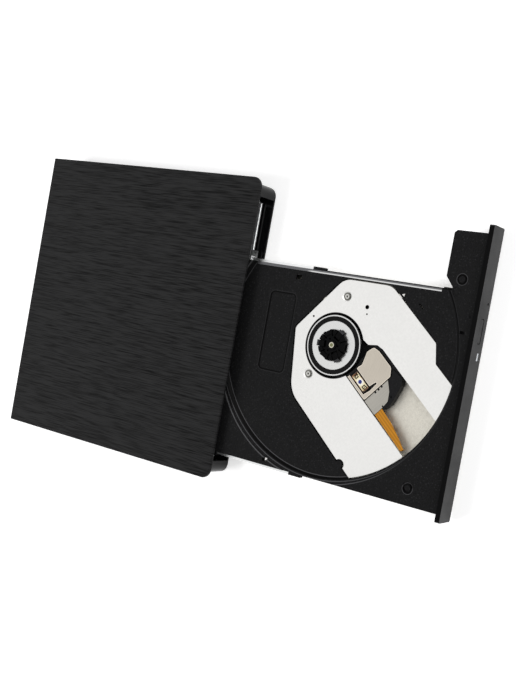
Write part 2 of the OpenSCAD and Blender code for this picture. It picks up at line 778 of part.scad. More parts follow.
module drive_plug() {
    x = drive_plug_x();
    color("#1b1b1d") at_case() difference() {
        block([x[0], pan_end - 11, plug_z], [x[1], pan_end + 0.6, plug_z + 3.6]);
        block([x[0] + 1, pan_end - 5, plug_z + 1], [x[1] - 1, pan_end + past, plug_z + 2.6]);
    }
}

module tray_ribbon() {
    color("#dfe3e6") at_case()
        block([tray_right - 3 - ribbon_w, tray_hold - ribbon_lap, pan_top + 0.1],
              [tray_right - 3, pan_end*0.49, pan_top + 0.25]);
}

module bridge_board() {
    color("#1f5a38") at_case()
        block([usb_x - 7.5, pan_end + 1.6, bridge_z], [bay_w/2 - 1.4, back_in - 0.3, bridge_top]);
}

module bridge_chips() {
    color("#1b1b1d") at_case() translate([usb_x + 6.2, pan_end + 3, bridge_top]) {
        block([0, 0, 0], [5, 5, 0.9]);
        block([0.6, 6, 0], [3, 7.2, 0.6]);
    }
}

module bridge_socket() {
    x = drive_plug_x();
    color("#26272a") at_case() difference() {
        block([x[0], pan_end + 0.9, bridge_top], [x[1], pan_end + 6, plug_z + 3.6]);
        block([x[0] + 1, pan_end, plug_z + 1], [x[1] - 1, pan_end + 4, plug_z + 2.6]);
    }
}

module usb_outline(inset) { pill(usb_w - 2*inset, usb_h - 2*inset, (usb_h - 2*inset)*0.45); }

module at_usb_centre() { translate([usb_x, 0, bridge_top + usb_h/2]) children(); }
module at_usb() { at_case() at_usb_centre() children(); }

module usb_shell() {
    color("#c8cacb") at_usb() difference() {
        along_y(body_d - usb_l, body_d) usb_outline(0);
        along_y(body_d - usb_l + 0.6, body_d + past) usb_outline(usb_wall);
    }
}

module usb_tongue() {
    color("#1b1b1d") at_usb() block([-3.35, body_d - usb_l + 0.6, -0.35], [3.35, body_d - 1.4, 0.35]);
}

// Where the mechanism opening reaches in the tray
module mech_opening(z, h) {
    on_hub_plan(z, h) intersection() {
        polygon(rounded(grown(plate_pts, plate_gap)));
        circle(plate_r + plate_gap);
    }
}
module on_hub_plan(z, h) {
    translate([hub_x, hub_setback, z]) rotate([0, 0, sled_turn]) linear_extrude(h) children();
}
module at_sled_point(p) {
    translate([hub_x, hub_setback, 0]) rotate([0, 0, sled_turn]) translate(p) children();
}

module tray_frame() {
    color("#232325") on_tray() difference() {
        union() {
            difference() {
                union() {
                    translate([0, 0, skin_z]) linear_extrude(rim_z - skin_z) polygon(tray_pts);
                    translate([0, 0, wing_z]) linear_extrude(rim_z - wing_z) polygon(wing_pts);
                    translate([0, 0, tray_floor])
                        linear_extrude(skin_z + fuse - tray_floor) difference() {
                        polygon(tray_pts);
                        polygon([for (p = grown(tray_pts, -tray_wall)) flat(p)]);
                    }
                }
                translate([hub_x, hub_setback, recess_z]) rotate_extrude() polygon([
                    [0, 0], [recess_r, 0], [recess_r + recess_slope, recess_depth],
                    [recess_r + recess_slope, recess_depth + past], [0, recess_depth + past]
                ]);
                // Shallow crescent step at the back left of the recess
                translate([hub_x - 1.6, hub_setback + 0.9, rim_z - recess_depth/3])
                    cylinder(r = recess_r + recess_slope + 0.1, h = recess_depth);
                mech_opening(tray_floor - past, rim_z);
                // Pocket in which the pickup reaches its outer limit
                translate([0, 0, tray_floor]) linear_extrude(pocket_z - tray_floor) intersection() {
                    polygon([for (p = grown(tray_pts, -tray_wall)) flat(p)]);
                    translate([hub_x, hub_setback]) rotate(sled_turn)
                        translate([plate_r*0.7, -screw_left - feed_r - 1])
                        square([pocket_end - plate_r*0.7, screw_left + feed_r + slot_right + 1.6]);
                }
            }
            // Rib that runs in the left rail
            block([-tray_left - rib_reach, left_rib, rail_mid - rib_h/2],
                  [-tray_left + fuse, tray_back - 5, rail_mid + rib_h/2]);
            // Rib that runs in the right rail, with a thicker front end
            block([tray_right - fuse, right_rib - fuse, rail_mid - rib_h/2],
                  [tray_right + rib_reach, tray_back - 5, rail_mid + rib_h/2]);
            block([tray_right - fuse, wing_root + clear, rail_mid - rail_in],
                  [tray_right + rib_reach + 0.5, right_rib, rail_mid + rail_in]);
            // Pins for the dampers
            for (p = dampers) at_sled_point(p)
                translate([0, 0, tray_floor]) cylinder(r = 1.2, h = skin_z + fuse - tray_floor);
            // Lobe beside the mechanism plate
            at_sled_point(plate_bite) translate([0, 0, skin_z]) cylinder(r = 1.9, h = skin_t);
            // Ledges that carry the bezel, below the edge of the deck
            block([-tray_left + 2, bezel_t, tray_floor], [tray_right, deck_front + fuse, skin_z]);
            block([tray_right - fuse, bezel_t, wing_z],
                  [wing_right - 2, deck_front + fuse, wing_z + 0.5]);
            // Small pip on the front deck
            translate([tray_right - 10.2, front_in + 2.5, rim_z - fuse])
                cylinder(r = 0.9, h = fuse + 0.3);
            // Boss and pin of the latch
            translate([latch_x, latch_u, 0]) {
                translate([0, 0, latch_z + 1 + clear])
                    cylinder(r = 1.8, h = wing_z + fuse - latch_z - 1 - clear);
                translate([0, 0, latch_z - clear]) cylinder(r = 1, h = wing_z - latch_z);
            }
        }
        // Room for the eject button, the light window and the release pin
        block([led_x - led_w/2 - 1, 0, tray_floor - past],
              [pinhole_x + 1.5, deck_front + tray_wall + past, pocket_z - 1]);
        block([button_x - button_w/2 - 1.2, 0, tray_floor - past],
              [button_x + button_w/2 + 1.2, front_in + 2.2, button_mid + button_h/2 + 1.1]);
        tray_marks();
    }
}

// Round groove between two radii
module ring_cut(r0, r1) { rotate_extrude() translate([r0, 0]) square([r1 - r0, past]); }

// Shallow moulded features of the tray's upper side
module tray_marks() {
    panel = [hub_x - 18, hub_setback + 24.8];
    notch = [hub_x + 27.4, hub_setback + 24];
    edge = [-tray_left + 1.9, hub_setback + 24.2];
    slab(panel, panel + [38.6, 15], recess_z - 0.3, past, 2.6);
    for (p = [[wing_inner - 0.6, wing_root - 3.7], [-tray_left + 8.1, wing_root + 3.5]])
        translate([p.x, p.y, rim_z - 0.5]) ring_cut(1.5, 2.4);
    translate([tray_right - 0.4, wing_root - 2.6, rim_z - 0.2]) ring_cut(1.2, 2.1);
    translate([0, 0, skin_z - past]) {
        translate(notch) cube([2.2, 3, skin_t + 2*past]);
        translate(edge) cube([1.7, 2.4, rim_z]);
    }
    block([button_x - 2.5, front_in + 2.7, rim_z - 1.6], [button_x - 1.2, front_in + 4.9, rim_z + past]);
    // Small openings beside the mechanism plate
    at_sled_point([plate_right*0.13, plate_right + 1.9]) translate([0, 0, skin_z - past])
        linear_extrude(skin_t + 2*past) polygon([[-0.9, -0.7], [1, -0.7], [0.2, 0.9]]);
    at_sled_point([plate_right*0.38, plate_right + 5])
        block([-1.5, -0.3, skin_z - past], [1.5, 0.3, recess_z + past]);
}

module tray_bezel() {
    color("#1b1b1d") on_tray() difference() {
        slab_bezel(0, bezel_d, 0, 0.8);
        slab_bezel(bezel_t, bezel_d + past, bezel_rim, 0.4);
        translate([button_x, 0, button_mid]) bezel_hole(button_w + 2*clear, button_h + 2*clear);
        translate([led_x, 0, bezel_z + led_z]) bezel_hole(led_w + 0.2, led_h + 0.2);
        translate([pinhole_x, -past, bezel_z + 2.6]) rotate([-90, 0, 0])
            cylinder(r = pinhole_r, h = bezel_t + 2*past);
    }
}

// Bezel block between two depths, drawn in by inset all round
module slab_bezel(u0, u1, inset, r) {
    translate([0, 0, bezel_z + bezel_h/2])
        along_y(u0, u1) pill(bezel_w - 2*inset, bezel_h - 2*inset, r);
}

// Rounded cut through the bezel about its centre
module bezel_hole(w, h) { along_y(-past, bezel_t + past) pill(w, h, h*0.3); }
module pill(w, h, r) {
    translate([-w/2 + r, -h/2]) square([w - 2*r, h]);
    translate([-w/2, -h/2 + r]) square([w, h - 2*r]);
    for (x = [-w/2 + r, w/2 - r], z = [-h/2 + r, h/2 - r]) translate([x, z]) circle(r);
}

module eject_button() {
    color("#1d1d1f") on_tray() translate([button_x, 0, button_mid]) {
        along_y(0.1, bezel_t + 0.4) pill(button_w, button_h, button_h*0.3);
        block([-button_w/2 - 0.7, bezel_t + 0.3, -button_h/2 - 0.7],
              [button_w/2 + 0.7, front_in - 0.1, button_h/2 + 0.7]);
        block([-1.5, front_in - 0.2, -0.7], [1.5, front_in + 0.9, 0.5]);
    }
}

module led_window() {
    color("#e8eef2") on_tray() translate([led_x, 0, bezel_z + led_z])
        along_y(0.05, bezel_t + 0.5) pill(led_w, led_h, led_h*0.3);
}

module tray_bottom_plate() {
    color("#d9d6cb") on_tray() translate([0, 0, tray_z]) linear_extrude(under_plate_t) difference() {
        polygon([for (p = grown(tray_pts, -clear)) flat(p)]);
        square([2*bezel_w, 2*(front_in + clear)], center = true);
        // Window under the notch at the tray's left edge
        translate([-tray_left + tray_wall, hub_setback + 24]) square([4.6, 8.5]);
        // Window under the small opening beside the mechanism plate
        translate([tray_right - 6.4, hub_setback - 29.2]) square([3.6, 3.8]);
        // Holes under the spindle and the pickup's rods
        translate([hub_x, hub_setback]) circle(4);
        translate([hub_x, hub_setback]) rotate(sled_turn)
            for (p = [[-plate_back, 8], [plate_r*0.5, -screw_left], [plate_r*0.5, rod_right]])
                translate(p) circle(2.4);
    }
}

// Steel angle that lines the edge where the recess runs out
module right_runner() {
    edge = plate_side + mech_side + strip_t;
    half = sqrt(recess_r*recess_r - edge*edge) - clear;
    front = max(right_rib - hub_setback, -half);
    color("#cfd1d1") on_tray() translate([tray_right, hub_setback, 0]) {
        block([-strip_w, front, recess_z], [strip_t, half, recess_z + strip_t]);
        block([0, front, skin_z], [strip_t, half, recess_z + strip_t]);
    }
}

module front_board() {
    color("#1f5a38") on_tray()
        block([led_x - 4, front_in + 2.1, tray_floor],
              [pinhole_x + 1, front_in + 9, tray_floor + board_t]);
}

module eject_switch() {
    color("#2a2a2c") on_tray()
        block([button_x - 3, front_in + 1 + button_travel, tray_floor + board_t],
              [button_x + 3, front_in + 5, skin_z - 0.2]);
}

module release_solenoid() {
    color("#6d5a3f") on_tray() difference() {
        block([latch_x + 6, front_in + 0.4, latch_z - 1.2], [wing_right - 1.4, latch_u - 1, wing_z]);
        translate([latch_x + 5, latch_u - latch_arm, latch_mid]) rotate([0, 90, 0])
            cylinder(r = 1.1, h = 6);
    }
}

module solenoid_plunger() {
    color("#c2c4c5") on_tray()
        translate([latch_x + 0.9, latch_u - latch_arm, latch_mid]) rotate([0, 90, 0]) {
        cylinder(r = 0.8, h = 7.2);
        cylinder(r = 1.3, h = 0.8);
    }
}

module latch_hook() {
    color("#2d2e31") on_tray() translate([latch_x, latch_u, latch_z]) difference() {
        union() {
            cylinder(r = 2, h = 1);
            block([-0.8, -latch_arm - 1, 0], [0.5, latch_reach + latch_tip, 1]);
            block([-0.8, latch_reach, 0], [2.2, latch_reach + latch_tip, 1]);
        }
        translate([0, 0, -past]) cylinder(r = 1 + bearing_gap, h = 3*past);
    }
}

module mech_plate() {
    color("#e2e2de") on_sled() translate([0, 0, plate_z]) {
        linear_extrude(plate_t) difference() {
            intersection() {
                polygon(rounded(plate_pts));
                circle(plate_r);
            }
            circle(plate_hole_r);
            polygon(slot_pts);
            translate(plate_bite) circle(2.5);
            for (p = mech_screws) translate(p) circle(2.6);
            translate([-2.7, 23.7]) circle(1);
            translate([-0.3, 21.6]) circle(0.4);
            translate([-18.1, 0]) circle(0.5);
        }
        for (p = mech_screws) translate(p) rotate_extrude() polygon([
            [0.9, -plate_t], [1.9, -plate_t], [2.6, 0], [2.9, 0],
            [2.9, plate_t], [2.45, plate_t], [1.75, 0], [0.9, 0]
        ]);
    }
}

module mech_plate_screws() {
    color("#aeb0b1") on_sled() for (p = mech_screws) translate([p.x, p.y, plate_z]) difference() {
        union() {
            cylinder(r = 1.5, h = plate_t - 0.05);
            translate([0, 0, -1.8]) cylinder(r = 0.8, h = 1.9);
        }
        cross_recess(1.5, plate_t);
    }
}

module traverse_base() {
    color("#1f2022") on_sled() difference() {
        union() {
            translate([0, 0, base_z]) linear_extrude(base_t) difference() {
                union() {
                    intersection() {
                        polygon(rounded(grown(plate_pts, -1.5)));
                        circle(plate_r - 2);
                    }
                    translate([0, -window_left - 3]) square([bracket_end, 3.01]);
                    translate([20, window_right - 0.01]) square([second_end - 19.2, 3]);
                    for (p = dampers) translate(p) circle(3.4);
                    for (p = [dampers[0], dampers[2]])
                        translate(p) translate([-2.4, 0]) square([4.8, 8]);
                    translate(dampers[1]) translate([0, -2.4]) square([8, 4.8]);
                    translate(dampers[3]) translate([-2.4, -8]) square([4.8, 8]);
                }
                circle(table_r - 1);
                translate([window_start, -window_left])
                    square([plate_r + 20, window_left + window_right]);
                for (p = dampers) translate(p) circle(2.05);
            }
            for (p = mech_screws) translate([p.x, p.y, base_top - fuse])
                cylinder(r = 2, h = plate_z - plate_t - base_top + fuse);
            // Rod holders
            block([rod_start, -rod_left - 2, base_z], [window_start, -rod_left + 1.8, sled_top]);
            block([rod_start, rod_right - 2, base_z], [window_start, rod_right + 1.8, sled_top]);
            block([second_end - 1.6, rod_right - 2, base_z],
                  [second_end + 0.8, window_right + 2.9, sled_top]);
        }
        for (p = mech_screws) translate([p.x, p.y, base_top]) cylinder(r = 0.8 + bearing_gap, h = 4);
        along_sled(rod_start - past, bracket_end + 2, -rod_left, rod_z, rod_r + bearing_gap);
        along_sled(rod_start - past, second_end + 0.2, rod_right, rod_z, rod_r + bearing_gap);
    }
}

module traverse_dampers() {
    color("#1a1a1b") on_sled() for (p = dampers) translate([p.x, p.y, 0]) rotate_extrude() polygon([
        [1.22, base_z - 0.6], [2.9, base_z - 0.6], [2.9, base_z], [2, base_z], [2, base_top],
        [2.9, base_top], [2.9, base_top + 0.8], [1.22, base_top + 0.8]
    ]);
}

module spindle_motor_base() {
    color("#1f2022") at_hub() difference() {
        union() {
            translate([0, 0, base_z - 0.6]) cylinder(r = table_r + 0.6, h = 0.6);
            translate([0, 0, base_z - fuse]) cylinder(r = shaft_r + 1.8, h = sled_top + 0.6 - base_z);
            translate([0, 0, base_z + 0.6]) cylinder(r = table_r - 4.4, h = 2);
        }
        translate([0, 0, base_z - past]) cylinder(r = shaft_r + bearing_gap, h = 10);
    }
}

module spindle_shaft() {
    color("#c9c4a4") at_hub() translate([0, 0, base_z - 0.5])
        cylinder(r = shaft_r, h = clamp_top + 0.05 - base_z + 0.5);
}

module turntable() {
    lip = ring_r + 0.1;
    low = seat_z - 1.1;
    color("#ccd0d0") at_hub() rotate_extrude() polygon([
        [shaft_r, low], [table_r - 3.6, low],
        [table_r - 3.6, base_z + 0.7], [table_r - 2.9, base_z + 0.7],
        [table_r - 2.9, low], [table_r, low], [table_r, seat_z - 0.2], [lip, seat_z - 0.2],
        [lip, seat_z - 0.5], [ring_r - ring_w - 0.1, seat_z - 0.5],
        [ring_r - ring_w - 0.1, seat_z - 0.25], [shaft_r, seat_z - 0.25]
    ]);
}

module friction_ring() {
    color("#242425") at_hub() rotate_extrude() polygon([
        [ring_r - ring_w, seat_z - 0.5], [ring_r, seat_z - 0.5],
        [ring_r, seat_z - 0.1], [ring_r - 0.15, seat_z],
        [ring_r - ring_w + 0.15, seat_z], [ring_r - ring_w, seat_z - 0.1]
    ]);
}

module at_claw(i) { rotate([0, 0, 90 + 360*i/claws]) children(); }

module clamp_hub() {
    crown = clamp_top - 0.3;
    color("#161617") at_hub() difference() {
        union() {
            translate([0, 0, seat_z - 0.25]) cylinder(r = clamp_r, h = crown - seat_z + 0.25);
            translate([0, 0, crown]) cylinder(r1 = clamp_r, r2 = clamp_r - 0.3, h = 0.3);
        }
        translate([0, 0, seat_z - past]) cylinder(r = shaft_r, h = clamp_h + 3);
        // Sunk ring between the collar and the lobes
        translate([0, 0, crown - 0.1]) rotate_extrude()
            translate([shaft_r + 1, 0]) square([clamp_r*0.36, past]);
        for (i = [0:claws - 1]) at_claw(i) {
            block([claw_start - claw_travel - clear, -claw_w/2 - claw_gap, claw_floor],
                  [clamp_r + past, claw_w/2 + claw_gap, clamp_top + past]);
            // Slits that free a springy lobe between the claws
            for (q = [38, 82]) rotate([0, 0, q])
                block([clamp_r*0.56, -0.25, claw_floor], [clamp_r + past, 0.25, clamp_top + past]);
            rotate([0, 0, 60]) {
                block([clamp_r - 0.5, -1.4, claw_floor], [clamp_r + past, 1.4, clamp_top + past]);
                translate([clamp_r*0.42, 0, crown - 0.6]) cylinder(r = 0.5, h = past);
            }
        }
    }
}

module claw(i) {
    nose = clamp_r + claw_out;
    color("#1d1d1f") at_hub() at_claw(i)
        translate([0, claw_w/2, claw_floor + claw_gap]) rotate([90, 0, 0])
        linear_extrude(claw_w) polygon([
            [claw_start, 0], [clamp_r, 0], [nose, 0.35],
            [nose, 0.6], [clamp_r - 0.2, 0.95], [claw_start, 0.95]
        ]);
}
module clamp_claw_1() { claw(0); }
module clamp_claw_2() { claw(1); }
module clamp_claw_3() { claw(2); }

module main_rod() {
    color("#d8dada") on_sled() along_sled(rod_start, feed_start, -rod_left, rod_z, rod_r);
}
module second_rod() {
    color("#d8dada") on_sled() along_sled(rod_start, second_end, rod_right, rod_z, rod_r);
}

module feed_bracket() {
    color("#b4b7b8") on_sled() difference() {
        union() {
            block([11, -window_left - 3, base_top], [bracket_end, -window_left - 0.3, base_top + 0.5]);
            block([11, -window_left - 3, base_top], [11.8, -screw_left + 2.4, sled_top]);
            block([bracket_end, -window_left - 3, base_z], [feed_start, -rod_left + 1.8, sled_top]);
        }
        along_sled(10, bracket_end + past, -screw_left, screw_z, screw_r + bearing_gap);
        along_sled(bracket_end - past, bracket_end + 2*past, -rod_left, rod_z, rod_r + bearing_gap);
    }
}

module feed_motor() {
    color("#c0c2c3") on_sled()
        along_sled(feed_start, feed_start + feed_l, -screw_left, screw_z, feed_r);
}

module lead_screw() {
    color("#d0d2d2") on_sled() along_sled(10.7, feed_start - 0.1, -screw_left, screw_z, screw_r);
}

// Room for the turntable and its motor at the sled's inner limit
module turntable_room() { translate([0, 0, tray_z]) cylinder(r = table_r + 0.9, h = 10); }
// Room in which the lens holder floats
module holder_room() {
    low = holder_z - focus_travel - clear;
    block([lens_s - holder_l/2 - holder_gap, -holder_w/2 - holder_gap, low],
          [lens_s + holder_l/2 + holder_gap, holder_w/2 + holder_gap, pocket_z + past]);
}

module pickup_body() {
    color("#1e1e20") on_sled() difference() {
        union() {
            translate([0, 0, sled_z]) linear_extrude(sled_top - sled_z) polygon(concat(
                [[slot_start, -slot_left], [sled_end, -slot_left], [sled_end, 1.3]],
                [for (p = end_pts) p - [0.1, 0]],
                [[sled_end - 6.3, slot_right], [slot_start, slot_right]]
            ));
            translate([0, 0, sled_top - fuse]) linear_extrude(sled_step - sled_top + fuse)
                polygon(rounded(grown(cover_pts, -0.4)));
            block([eye_start, -rod_left - 2, sled_z], [eye_end, -slot_left + fuse, sled_top]);
            block([slot_start + 3.4, slot_right - fuse, sled_z],
                  [slot_start + 7.4, rod_right + 1.6, sled_top]);
        }
        turntable_room();
        holder_room();
        along_sled(eye_start - past, eye_end + past, -rod_left, rod_z, rod_r + bearing_gap);
        along_sled(slot_start + 2.4, slot_start + 8.4, rod_right, rod_z, rod_r + bearing_gap);
    }
}

module pickup_cover() {
    color("#c8c2b8") on_sled() difference() {
        translate([0, 0, sled_step]) linear_extrude(0.3) polygon(rounded(cover_pts));
        translate([0, 0, tray_z]) cylinder(r = table_r + 2.1, h = 10);
        holder_room();
        // The lens window opens towards the turntable
        block([table_r, -holder_w/2 - holder_gap, sled_step - past],
              [lens_s, holder_w/2 + holder_gap, pocket_z]);
        // Wedge cut at the lens window's outer corner
        translate([lens_s + holder_l/2, 0, sled_step - past]) linear_extrude(3*past) polygon([
            [-0.6, holder_w/2], [holder_gap, -holder_w/2], [1.2, 1.2], [0.9, 6], [0.1, 6]
        ]);
    }
}

// Lower plate between the cover and the flex
module pickup_plate() {
    color("#c3c0b8") on_sled() translate([0, 0, sled_top]) linear_extrude(0.3) difference() {
        polygon([
            [cover_end + 0.3, -slot_left + 0.3], [sled_end + 0.1, -slot_left + 0.3], [sled_end + 0.1, 1],
            [sled_end - 0.4, 5], [sled_end - 3.3, 8.3], [sled_end - 6.2, 10.1], [cover_end + 0.3, 11]
        ]);
        // Teeth along the edge by the cover
        for (t = [2.4, 4.4, 6.4]) translate([cover_end, t]) square([1.1, 0.9]);
        translate([sled_end - 0.7, 1.4]) square([1.2, 0.7]);
    }
}

module pickup_side_frame() {
    color("#1b1b1d") on_sled() translate([0, 0, sled_top]) linear_extrude(sled_step - sled_top)
        difference() {
        polygon(concat(
            [
                [cover_end - 2, cover_right + 0.1], [cover_end + 0.3, cover_right - 2.3],
                [cover_end + 0.3, 11.4], [sled_end - 6, 10.4], [sled_end - 3, 8.6],
                [sled_end - 0.1, 5.2], [sled_end + 0.4, 1.3]
            ],
            end_pts,
            [[sled_end - 6.3, cover_right + 0.7]]
        ));
        translate([sled_end - 1.2, 7.2]) square(0.9);
    }
}

module rack_nut() {
    color("#e9e6dc") on_sled() difference() {
        // Open saddle, so that the nut lies under the screw
        block([eye_start + 3.4, -screw_left - 1.9, sled_z + 0.4],
              [eye_start + 8.4, -rod_left - 2, screw_z + 0.4]);
        along_sled(eye_start, eye_end, -screw_left, screw_z, screw_r + clear);
    }
}

// Ribbon that narrows from the pickup to the slot's end, where it turns down
module pickup_flex() {
    z = sled_top + 0.02;
    tip = plate_r - 2.6;
    color("#d8912d") on_sled() {
        translate([0, 0, z]) linear_extrude(0.15) polygon([
            [sled_end + 0.25, -3.7], [tip - 0.8, -3.85], [tip, -3.4], [tip, -2.2],
            [tip - 3.8, -1.2], [tip - 7.7, -0.4], [sled_end + 8, 0.4], [sled_end + 0.25, 0.75]
        ]);
        block([tip - 0.15, -3.4, base_top], [tip, -2.2, z + 0.15]);
    }
}

module lens_holder() {
    color("#e9dfbd") on_sled() difference() {
        block([lens_s - holder_l/2, -holder_w/2, holder_z],
              [lens_s + holder_l/2, holder_w/2, plate_top + 0.2]);
        translate([lens_s, 0, plate_top - 0.5]) cylinder(r = lens_r, h = past);
        for (s = [-1, 1]) block([lens_s + s*holder_l*0.37 - 0.6, -1.3, plate_top - 0.6],
                                [lens_s + s*holder_l*0.37 + 0.6, 1.3, plate_top + past]);
    }
}

module objective_lens() {
    color("#1b2f8f") on_sled() translate([lens_s, 0, plate_top - 0.5]) rotate_extrude() polygon(concat(
        [[0, 0], [lens_r, 0], [lens_r, 0.6]],
        [for (k = [1:6]) [lens_r*cos(90*k/6), 0.6 + 0.35*sin(90*k/6)]]
    ));
}

top_cover();
base_shell();
rubber_feet();
case_screws();
chassis_pan();
chassis_lid();
chassis_screws();
left_guide();
right_guide();
latch_post();
main_board();
main_board_chips();
drive_plug();
tray_ribbon();
bridge_board();
bridge_chips();
bridge_socket();
usb_shell();
usb_tongue();
left_rail();
left_rail_cap();
right_rail();
right_rail_cap();
tray_frame();
tray_bezel();
tray_bottom_plate();
right_runner();
led_window();
front_board();
eject_switch();
release_solenoid();
solenoid_plunger();
latch_hook();
eject_button();
mech_plate();
mech_plate_screws();
traverse_base();
traverse_dampers();
spindle_motor_base();
main_rod();
second_rod();
feed_bracket();
feed_motor();
lead_screw();
turntable();
friction_ring();
clamp_hub();
spindle_shaft();
clamp_claw_1();
clamp_claw_2();
clamp_claw_3();
pickup_body();
pickup_cover();
pickup_plate();
pickup_side_frame();
rack_nut();
pickup_flex();
lens_holder();
objective_lens();
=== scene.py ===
"""Looks of the slim disc drive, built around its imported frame."""
import json
import math

import bpy
from mathutils import Matrix, Vector


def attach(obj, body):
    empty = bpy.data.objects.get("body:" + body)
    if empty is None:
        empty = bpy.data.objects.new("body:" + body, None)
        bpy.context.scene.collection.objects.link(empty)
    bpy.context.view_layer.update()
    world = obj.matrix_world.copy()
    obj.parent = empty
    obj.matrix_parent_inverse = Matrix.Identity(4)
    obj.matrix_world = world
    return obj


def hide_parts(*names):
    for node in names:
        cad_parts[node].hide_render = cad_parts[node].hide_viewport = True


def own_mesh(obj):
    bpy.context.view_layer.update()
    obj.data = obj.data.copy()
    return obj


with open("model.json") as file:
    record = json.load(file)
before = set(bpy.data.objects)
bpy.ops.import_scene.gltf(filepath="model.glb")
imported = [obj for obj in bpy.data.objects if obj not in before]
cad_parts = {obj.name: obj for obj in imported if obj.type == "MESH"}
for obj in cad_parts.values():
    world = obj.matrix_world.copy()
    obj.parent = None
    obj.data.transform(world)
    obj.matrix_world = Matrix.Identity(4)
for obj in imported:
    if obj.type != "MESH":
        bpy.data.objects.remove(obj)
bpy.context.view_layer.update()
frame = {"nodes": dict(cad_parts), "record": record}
scene = bpy.context.scene
scene.view_settings.view_transform = "Standard"
MM = 0.001
# Axis of the disc and direction of the pickup's travel
HUB = (1.4 * MM, -63.6 * MM)
SLED_TURN = math.radians(230)


def on_sled(along, across):
    """Place on the tray of a point along and across the pickup's travel, in millimetres."""
    c, s = math.cos(SLED_TURN), math.sin(SLED_TURN)
    return HUB[0] + (along * c - across * s) * MM, HUB[1] + (along * s + across * c) * MM


# Places of the lens and of the mechanism plate's screws
LENS = on_sled(21.7, 0)
SCREWS = (on_sled(-13.5, 19), on_sled(1.2, -19))
# Moulded forms of the tray: foot and rim of the recess, its shallow second step, text panel, dimples
RECESS_FOOT, RECESS_RIM = 60.4 * MM, 62.1 * MM
STEP_AT, STEP_R = (HUB[0] - 1.6 * MM, HUB[1] + 0.9 * MM), 62.2 * MM
PANEL_AT, PANEL_HALF, PANEL_ROUND = (2.7 * MM, -31.3 * MM), (19.3 * MM, 7.5 * MM), 2.6 * MM
DIMPLES = ((39.6 * MM, -120.6 * MM), (-53.5 * MM, -113.4 * MM))
# Centre and radius of the painted shade at the rim of the plate's round hole, a little behind the hub
HOLE_RIM_AT, HOLE_RIM_R = (HUB[0] - 0.08 * MM, HUB[1] + 0.35 * MM), 15.45 * MM
# The runner is bright along its inner edge, in front of the right rail; behind that it has painted shade
# where the rail passes
RUNNER_BRIGHT_X = 33.85 * MM
RUNNER_BRIGHT_Y = -45 * MM

# Camera: the place, axes and focal length at which the part covers the picture's outlines
CAMERA_AT = (0.01263, -0.29733, 0.41591)
IMAGE_RIGHT = (0.17744, -0.81136, -0.55693)
IMAGE_DOWN = (-0.98341, -0.16780, -0.06887)
FOCAL_PX = 1015.7
CENTRE_DOWN_PX = 1.66
FRAME_PX = 688
SENSOR_MM = 36

# Sky: level on matt surfaces, levels in mirrors away from the back and towards it, direction of the back,
# and the cosines to that direction between which the level rises
SKY_MATT = 0.28
SKY_MIRROR = (0.9, 1.2)
SKY_BACK = (-0.2, 0.75, 0.62)
SKY_RISE = (0.2, 0.95)
# Floor: half its width, drop below the feet, grey, and glow where it is seen
FLOOR_HALF, FLOOR_DROP = 4.0, 0.02 * MM
FLOOR_GREY, FLOOR_GLOW = 0.8, 0.5
# Usual range of a noise texture's values
NOISE_RANGE = (0.3, 0.7)


def make_camera():
    """The photograph's camera, on axes worked out from its picture."""
    right = Vector(IMAGE_RIGHT).normalized()
    forward = right.cross(Vector(IMAGE_DOWN)).normalized()
    up = -forward.cross(right)
    axes = Matrix((right, up, -forward)).transposed().to_4x4()
    data = bpy.data.cameras.new("camera")
    data.sensor_width = SENSOR_MM
    data.lens = FOCAL_PX * SENSOR_MM / FRAME_PX
    data.shift_y = CENTRE_DOWN_PX / FRAME_PX
    data.clip_start = 0.01
    camera = bpy.data.objects.new("camera", data)
    scene.collection.objects.link(camera)
    camera.matrix_world = Matrix.Translation(CAMERA_AT) @ axes
    scene.camera = camera


def times(base, k):
    """A lighter or darker shade of a colour."""
    return tuple(min(1.0, c * k) for c in base)


